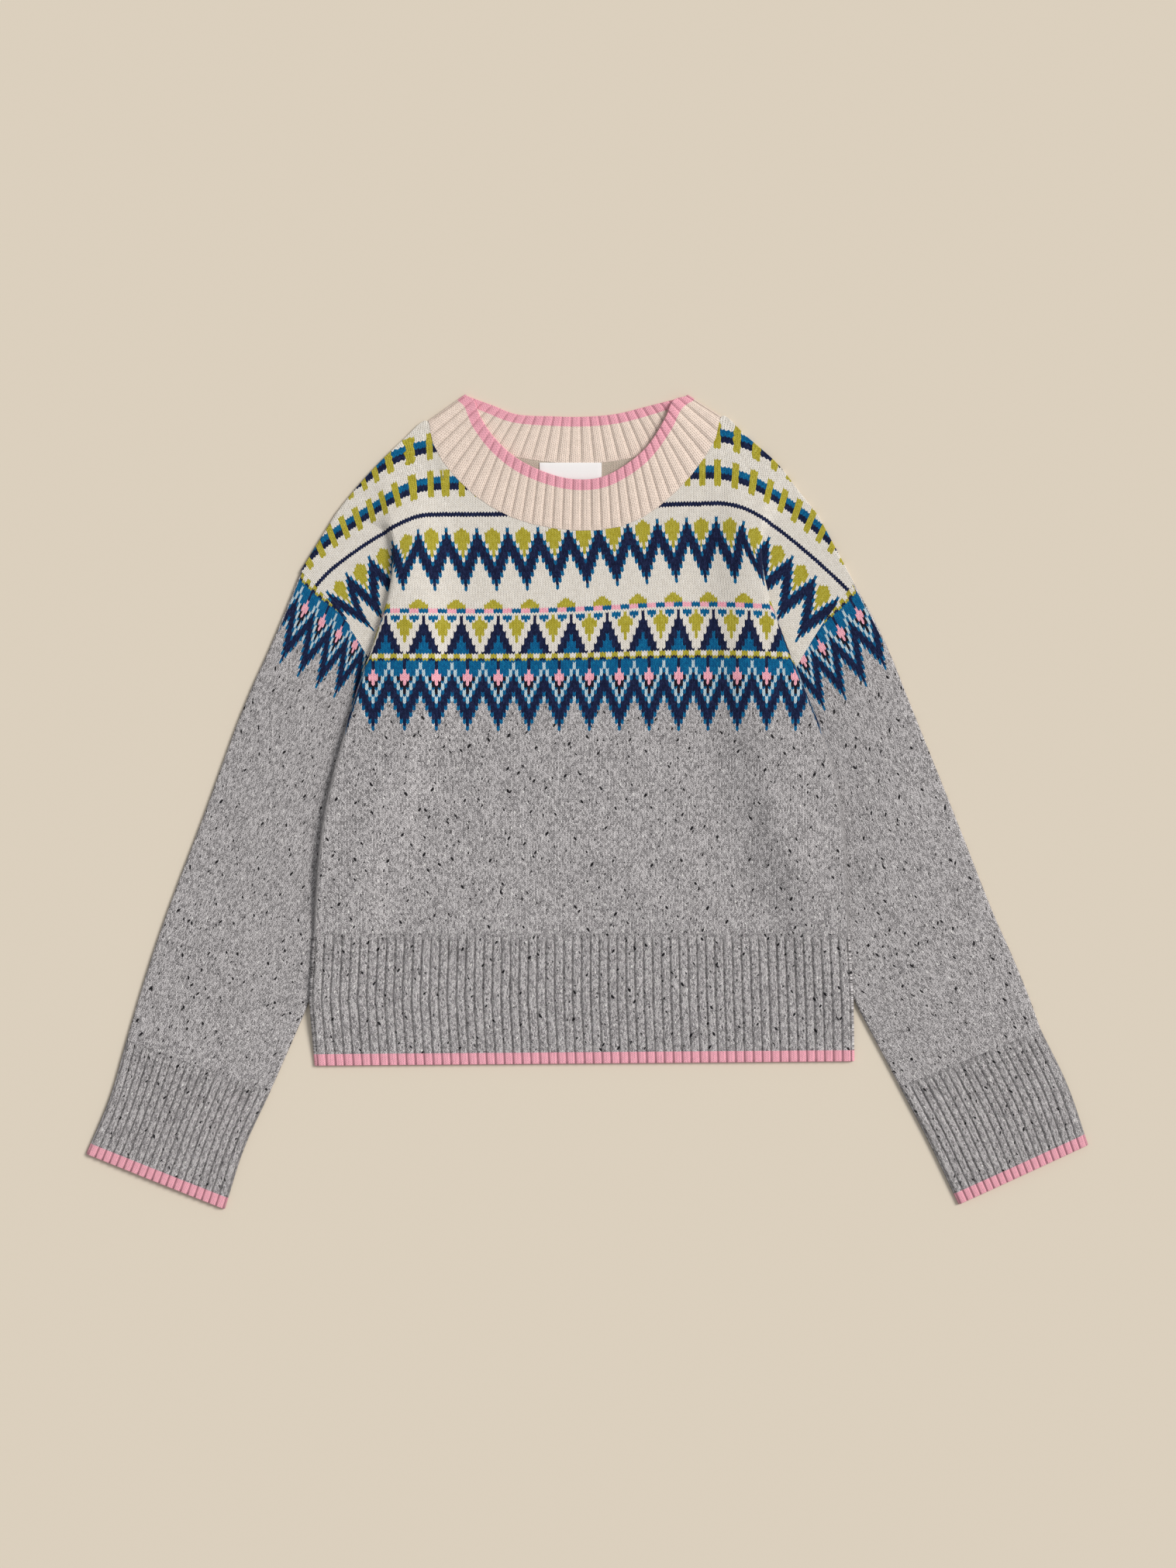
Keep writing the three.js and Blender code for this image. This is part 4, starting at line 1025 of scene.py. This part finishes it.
class Knit:
    """The nodes of one knitted material, with the stitch that each point lies in."""

    def __init__(self, name):
        self.material = bpy.data.materials.new(name)
        self.material.use_nodes = True
        self.tree = self.material.node_tree
        self.shader = self.tree.nodes["Principled BSDF"]
        place = self.tree.nodes.new("ShaderNodeAttribute")
        place.attribute_name = "stitch"
        split = self.tree.nodes.new("ShaderNodeSeparateXYZ")
        self.tree.links.new(place.outputs["Vector"], split.inputs[0])
        self.wale, self.course, self.level = (Num(self.tree, out) for out in split.outputs)
        self.spans = {}

    def vector(self, x, y, z=0.0):
        node = self.tree.nodes.new("ShaderNodeCombineXYZ")
        for place, value in enumerate((x, y, z)):
            if isinstance(value, Num):
                self.tree.links.new(value.socket, node.inputs[place])
            else:
                node.inputs[place].default_value = value
        return node.outputs[0]

    def noise(self, vector, scale, detail=2.0):
        node = self.tree.nodes.new("ShaderNodeTexNoise")
        self.tree.links.new(vector, node.inputs["Vector"])
        node.inputs["Scale"].default_value = scale
        node.inputs["Detail"].default_value = detail
        return Num(self.tree, node.outputs[0])

    def random(self, vector):
        node = self.tree.nodes.new("ShaderNodeTexWhiteNoise")
        self.tree.links.new(vector, node.inputs["Vector"])
        return Num(self.tree, node.outputs[0])

    def neps(self, turn, spacing, size, share):
        """Specks of other fibre, long in one direction: small blobs in a share of the cells."""
        across, down = self.wale * STITCH_WIDTH, self.course * STITCH_HEIGHT
        ragged = self.noise(self.vector(across, down), 0.9, 2.0) - 0.5
        aside = across * math.cos(turn) + down * math.sin(turn) + ragged * 1.2
        along = (down * math.cos(turn) - across * math.sin(turn) + ragged * 1.5) * 0.5
        node = self.tree.nodes.new("ShaderNodeTexVoronoi")
        node.voronoi_dimensions = "2D"
        self.tree.links.new(self.vector(aside, along), node.inputs["Vector"])
        node.inputs["Scale"].default_value = 1 / spacing
        split = self.tree.nodes.new("ShaderNodeSeparateColor")
        self.tree.links.new(node.outputs["Color"], split.inputs[0])
        chosen = Num(self.tree, split.outputs[0]).below(share)
        spread = (Num(self.tree, split.outputs[1]) + 0.5) * (size / spacing)
        near = Num(self.tree, node.outputs["Distance"]) / spread
        return near.ramp(1.0, 0.6) * chosen

    def paint(self, ground, top, share):
        """Lays one colour over another. Each is three numbers or the result of an earlier paint."""
        node = self.tree.nodes.new("ShaderNodeMix")
        node.data_type = "RGBA"
        for value, socket in ((ground, node.inputs[6]), (top, node.inputs[7])):
            if isinstance(value, tuple):
                socket.default_value = (*value, 1)
            else:
                self.tree.links.new(value, socket)
        self.tree.links.new(share.socket, node.inputs[0])
        return node.outputs[2]

    def shade(self, ground, factor):
        node = self.tree.nodes.new("ShaderNodeVectorMath")
        node.operation = "SCALE"
        self.tree.links.new(ground, node.inputs[0])
        self.tree.links.new(factor.socket, node.inputs["Scale"])
        return node.outputs[0]

    def stitch(self):
        """Splits the cloth into stitches, uneven as real ones are, and finds the yarn's height."""
        sway = self.noise(self.vector(self.wale, self.course), 0.5, 3.0)
        bob = self.noise(self.vector(self.course, self.wale, 7.0), 0.5, 3.0)
        wale = self.wale + (sway - 0.5) * 0.45
        across = (wale.fract() - 0.5).abs()
        lifted = self.course + (across - 0.25) * V_RISE + (bob - 0.5) * 0.6
        self.column = wale.floor()
        self.row = lifted.floor()
        self.cell = self.vector(self.column, self.row)
        self.leg = self.random(self.vector((wale * 2).floor(), self.row, 3.0))
        side = ((across - 0.25) * 4) ** 2
        end = ((lifted.fract() - 0.5) * 2) ** 2
        self.height = (-(side * (end * 0.95 + 0.6)) + 1).at_least(0) * (-(end * 0.35) + 1)
        return self.height

    def span(self, repeat, axis):
        """Whole wales from the nearest axis of a repeat."""
        if (repeat, axis) not in self.spans:
            turned = (self.column - (axis - repeat / 2)) / repeat
            self.spans[repeat, axis] = ((turned.fract() - 0.5) * repeat).abs()
        return self.spans[repeat, axis]

    def motif(self, motif):
        """1 where a motif of the chart is painted, and 0 elsewhere."""
        away = self.span(motif.repeat, motif.axis)
        nudge = 0.01
        top = away * motif.top_slope + (motif.top - nudge) if motif.top_slope else motif.top - nudge
        foot = away * motif.foot_slope + (motif.foot - nudge) if motif.foot_slope else motif.foot - nudge
        shown = self.row.above(top) * self.row.below(foot)
        if motif.reach < motif.repeat / 2:
            shown = shown * away.below(motif.reach + 0.25)
        return shown

    def marl(self):
        """Grey yarn of light and dark fibres, with dark and white neps."""
        fibres = self.noise(self.vector(self.wale * 4.6, self.course * 3.4), 1.0, 2.0)
        blend = (self.leg * 0.4 + fibres.ramp(0.36, 0.64) * 0.6).ramp(0.12, 0.88)
        grey = self.paint(YARNS["marl_dark"], YARNS["marl_light"], blend)
        for nep in NEPS:
            mask = self.neps(nep.turn, nep.spacing, nep.size, nep.share) * nep.strength
            grey = self.paint(grey, YARNS[nep.yarn], mask)
        return grey

    def heather(self, colour):
        """Deepens or lightens the yarn from stitch to stitch, most in the dark colours."""
        node = self.tree.nodes.new("ShaderNodeGamma")
        self.tree.links.new(colour, node.inputs["Color"])
        fibre = self.noise(self.vector(self.wale * 2.2, self.course * 1.6, 5.0), 1.3, 3.0)
        power = (self.leg - 0.5) * 0.24 + (fibre - 0.5) * 0.5 + 1
        self.tree.links.new(power.socket, node.inputs["Gamma"])
        return node.outputs[0]

    def finish(self, colour, depth=0.5):
        """Paints shade into the hollows between the yarns, adds nap and relief, and sets the shader."""
        variation = self.random(self.cell) * 0.1 + 0.95
        # Painted shade: the colour darkens where the yarn's height is low, between the stitches.
        painted_hollow_shade = self.height.ramp(0.0, 0.7) * 0.42 + 0.62
        lit = self.shade(colour, variation * painted_hollow_shade)
        self.tree.links.new(lit, self.shader.inputs["Base Color"])
        fuzz = self.noise(self.vector(self.wale * 3, self.course * 3), 2.2, 4.0)
        bump = self.tree.nodes.new("ShaderNodeBump")
        bump.inputs["Distance"].default_value = depth * MM
        bump.inputs["Strength"].default_value = 0.7
        relief = self.height + fuzz * 0.6
        self.tree.links.new(relief.socket, bump.inputs["Height"])
        self.tree.links.new(bump.outputs[0], self.shader.inputs["Normal"])
        self.shader.inputs["Roughness"].default_value = 0.92
        self.shader.inputs["Specular IOR Level"].default_value = 0.12
        self.shader.inputs["Sheen Weight"].default_value = 0.07
        self.shader.inputs["Sheen Roughness"].default_value = 0.5
        return self.material


def fair_isle():
    knit = Knit("fair_isle")
    knit.stitch()
    colour = YARNS["cream"]
    for motif in CHART:
        colour = knit.paint(colour, YARNS[motif.yarn], knit.motif(motif))
    colour = knit.heather(colour)
    colour = knit.paint(colour, knit.marl(), knit.motif(MARL))
    colour = knit.paint(colour, YARNS[TIP.yarn], knit.motif(TIP))
    colour = knit.paint(YARNS["inside"], colour, knit.level.above(0.5))
    return knit.finish(colour)


def rib(name, ground, pink_courses, groove_shade):
    """Two-by-one rib whose free edge is knitted in pink, with shade painted into its grooves."""
    knit = Knit(name)
    knit.stitch()
    colour = ground(knit)
    colour = knit.paint(colour, YARNS["pink"], knit.course.below(pink_courses))
    # Painted shade: the colour darkens in the rib's grooves, down to groove_shade of itself at the
    # deepest.
    colour = knit.shade(colour, knit.level.ramp(0.0, 0.75) * (1 - groove_shade) + groove_shade)
    return knit.finish(colour)


def oatmeal(knit):
    fleck = knit.noise(knit.vector(knit.wale * 1.5, knit.course * 2), 1.0, 3.0)
    return knit.paint(YARNS["oatmeal_dark"], YARNS["oatmeal"], fleck.ramp(0.25, 0.6))


def label_material():
    material = bpy.data.materials.new("woven_label")
    material.use_nodes = True
    tree = material.node_tree
    shader = tree.nodes["Principled BSDF"]
    shader.inputs["Base Color"].default_value = (*YARNS["label"], 1)
    shader.inputs["Roughness"].default_value = 0.6
    shader.inputs["Sheen Weight"].default_value = 0.1
    place = tree.nodes.new("ShaderNodeTexCoord")
    weave = tree.nodes.new("ShaderNodeTexWave")
    weave.inputs["Scale"].default_value = 1600
    weave.bands_direction = "Y"
    weave.inputs["Distortion"].default_value = 0.4
    bump = tree.nodes.new("ShaderNodeBump")
    bump.inputs["Distance"].default_value = 0.06 * MM
    bump.inputs["Strength"].default_value = 0.5
    tree.links.new(place.outputs["Object"], weave.inputs["Vector"])
    tree.links.new(weave.outputs["Fac"], bump.inputs["Height"])
    tree.links.new(bump.outputs[0], shader.inputs["Normal"])
    return material


def woven_tab(name, sag):
    """A tape over its solid's box, its edges turned down and its middle slightly raised."""
    low, high = (np.array(corner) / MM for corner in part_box(name))
    rows, columns = 12, 24
    u, v = np.meshgrid(np.linspace(0, 1, columns + 1), np.linspace(1, 0, rows + 1))
    lift = sag * np.sin(np.pi * u) * np.sin(np.pi * v)
    edge = np.minimum(np.minimum(u, 1 - u) * (high[0] - low[0]), np.minimum(v, 1 - v) * (high[1] - low[1]))
    top = high[2] - 0.35 * np.exp(-edge / 0.8) + lift
    upper = np.stack([mix(low[0], high[0], u), mix(low[1], high[1], v), top], -1)
    lower = upper.copy()
    lower[..., 2] = low[2]
    count = (rows + 1) * (columns + 1)
    number = np.arange(count).reshape(rows + 1, columns + 1)
    a, b, c, d = number[:-1, :-1], number[1:, :-1], number[1:, 1:], number[:-1, 1:]
    faces = [np.stack([a, b, c, d], -1).reshape(-1, 4), np.stack([a, d, c, b], -1).reshape(-1, 4) + count]
    loop = np.concatenate([number[0, :0:-1], number[:-1, 0], number[-1, :-1], number[:0:-1, -1]])
    ahead = np.roll(loop, -1)
    faces.append(np.stack([loop, loop + count, ahead + count, ahead], 1))
    faces = np.concatenate(faces)
    points = np.concatenate([upper.reshape(-1, 3), lower.reshape(-1, 3)])
    return make_mesh(name, points, faces, np.zeros((len(faces), 4, 3)))


def dress(piece, node, material):
    piece.data.materials.append(material)
    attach(piece, "root")
    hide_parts(node)


def build_jumper():
    knit = fair_isle()
    grey_rib = rib("grey_rib", Knit.marl, PINK_COURSES, 0.48)
    neck_rib = rib("oatmeal_rib", oatmeal, NECK_PINK_COURSES, 0.75)
    tape = label_material()
    for name in ("front", "back"):
        dress(panel(name), name, knit)
    for name in ("hem_front", "hem_back"):
        dress(hem(name), name, grey_rib)
    dress(neckband(), "neckband", neck_rib)
    for name in ("left", "right"):
        dress(sleeve(name), f"sleeve_{name}", knit)
        dress(cuff(name), f"cuff_{name}", grey_rib)
    for name, sag in (("neck_label", 0.3), ("size_tab", 0.1)):
        dress(woven_tab(name, sag), name, tape)


def build_stage():
    half = 4.0
    mesh = bpy.data.meshes.new("floor")
    corners = [(-half, -half, 0), (half, -half, 0), (half, half, 0), (-half, half, 0)]
    mesh.from_pydata(corners, [], [(0, 1, 2, 3)])
    floor = bpy.data.objects.new("floor", mesh)
    bpy.context.scene.collection.objects.link(floor)
    material = bpy.data.materials.new("pale_floor")
    material.use_nodes = True
    shader = material.node_tree.nodes["Principled BSDF"]
    shader.inputs["Base Color"].default_value = (*YARNS["floor"], 1)
    shader.inputs["Roughness"].default_value = 0.9
    shader.inputs["Specular IOR Level"].default_value = 0.1
    mesh.materials.append(material)


def add_sun(name, azimuth, elevation, strength, angle, colour):
    """A broad even light, azimuth clockwise from the top of the picture."""
    data = bpy.data.lights.new(name, "SUN")
    data.energy = strength
    data.angle = math.radians(angle)
    data.color = colour
    lamp = bpy.data.objects.new(name, data)
    bpy.context.scene.collection.objects.link(lamp)
    turn, tilt = math.radians(azimuth), math.radians(90 - elevation)
    lamp.rotation_euler = (-tilt, 0, -turn)


def build_light():
    add_sun("key", 62, 42, 2.75, 24, (1, 0.985, 0.96))
    world = bpy.data.worlds.new("studio")
    world.use_nodes = True
    sky = world.node_tree.nodes["Background"]
    sky.inputs["Color"].default_value = (0.98, 0.99, 1, 1)
    sky.inputs["Strength"].default_value = 0.44
    bpy.context.scene.world = world
    bpy.context.scene.view_settings.view_transform = "Standard"


def build_camera():
    data = bpy.data.cameras.new("camera")
    data.sensor_fit = "VERTICAL"
    data.sensor_height = SENSOR
    data.lens = SENSOR * CAMERA_HEIGHT / FRAME_HEIGHT
    camera = bpy.data.objects.new("camera", data)
    camera.location = (FRAME_CENTRE[0] * MM, FRAME_CENTRE[1] * MM, CAMERA_HEIGHT * MM)
    bpy.context.scene.collection.objects.link(camera)
    bpy.context.scene.camera = camera


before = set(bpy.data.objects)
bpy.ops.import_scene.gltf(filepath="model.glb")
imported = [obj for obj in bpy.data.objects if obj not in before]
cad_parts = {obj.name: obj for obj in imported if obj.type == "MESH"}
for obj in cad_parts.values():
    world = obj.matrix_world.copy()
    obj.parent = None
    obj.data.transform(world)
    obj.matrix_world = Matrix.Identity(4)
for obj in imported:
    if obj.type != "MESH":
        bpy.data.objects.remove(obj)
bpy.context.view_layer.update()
build_jumper()
build_stage()
build_light()
build_camera()
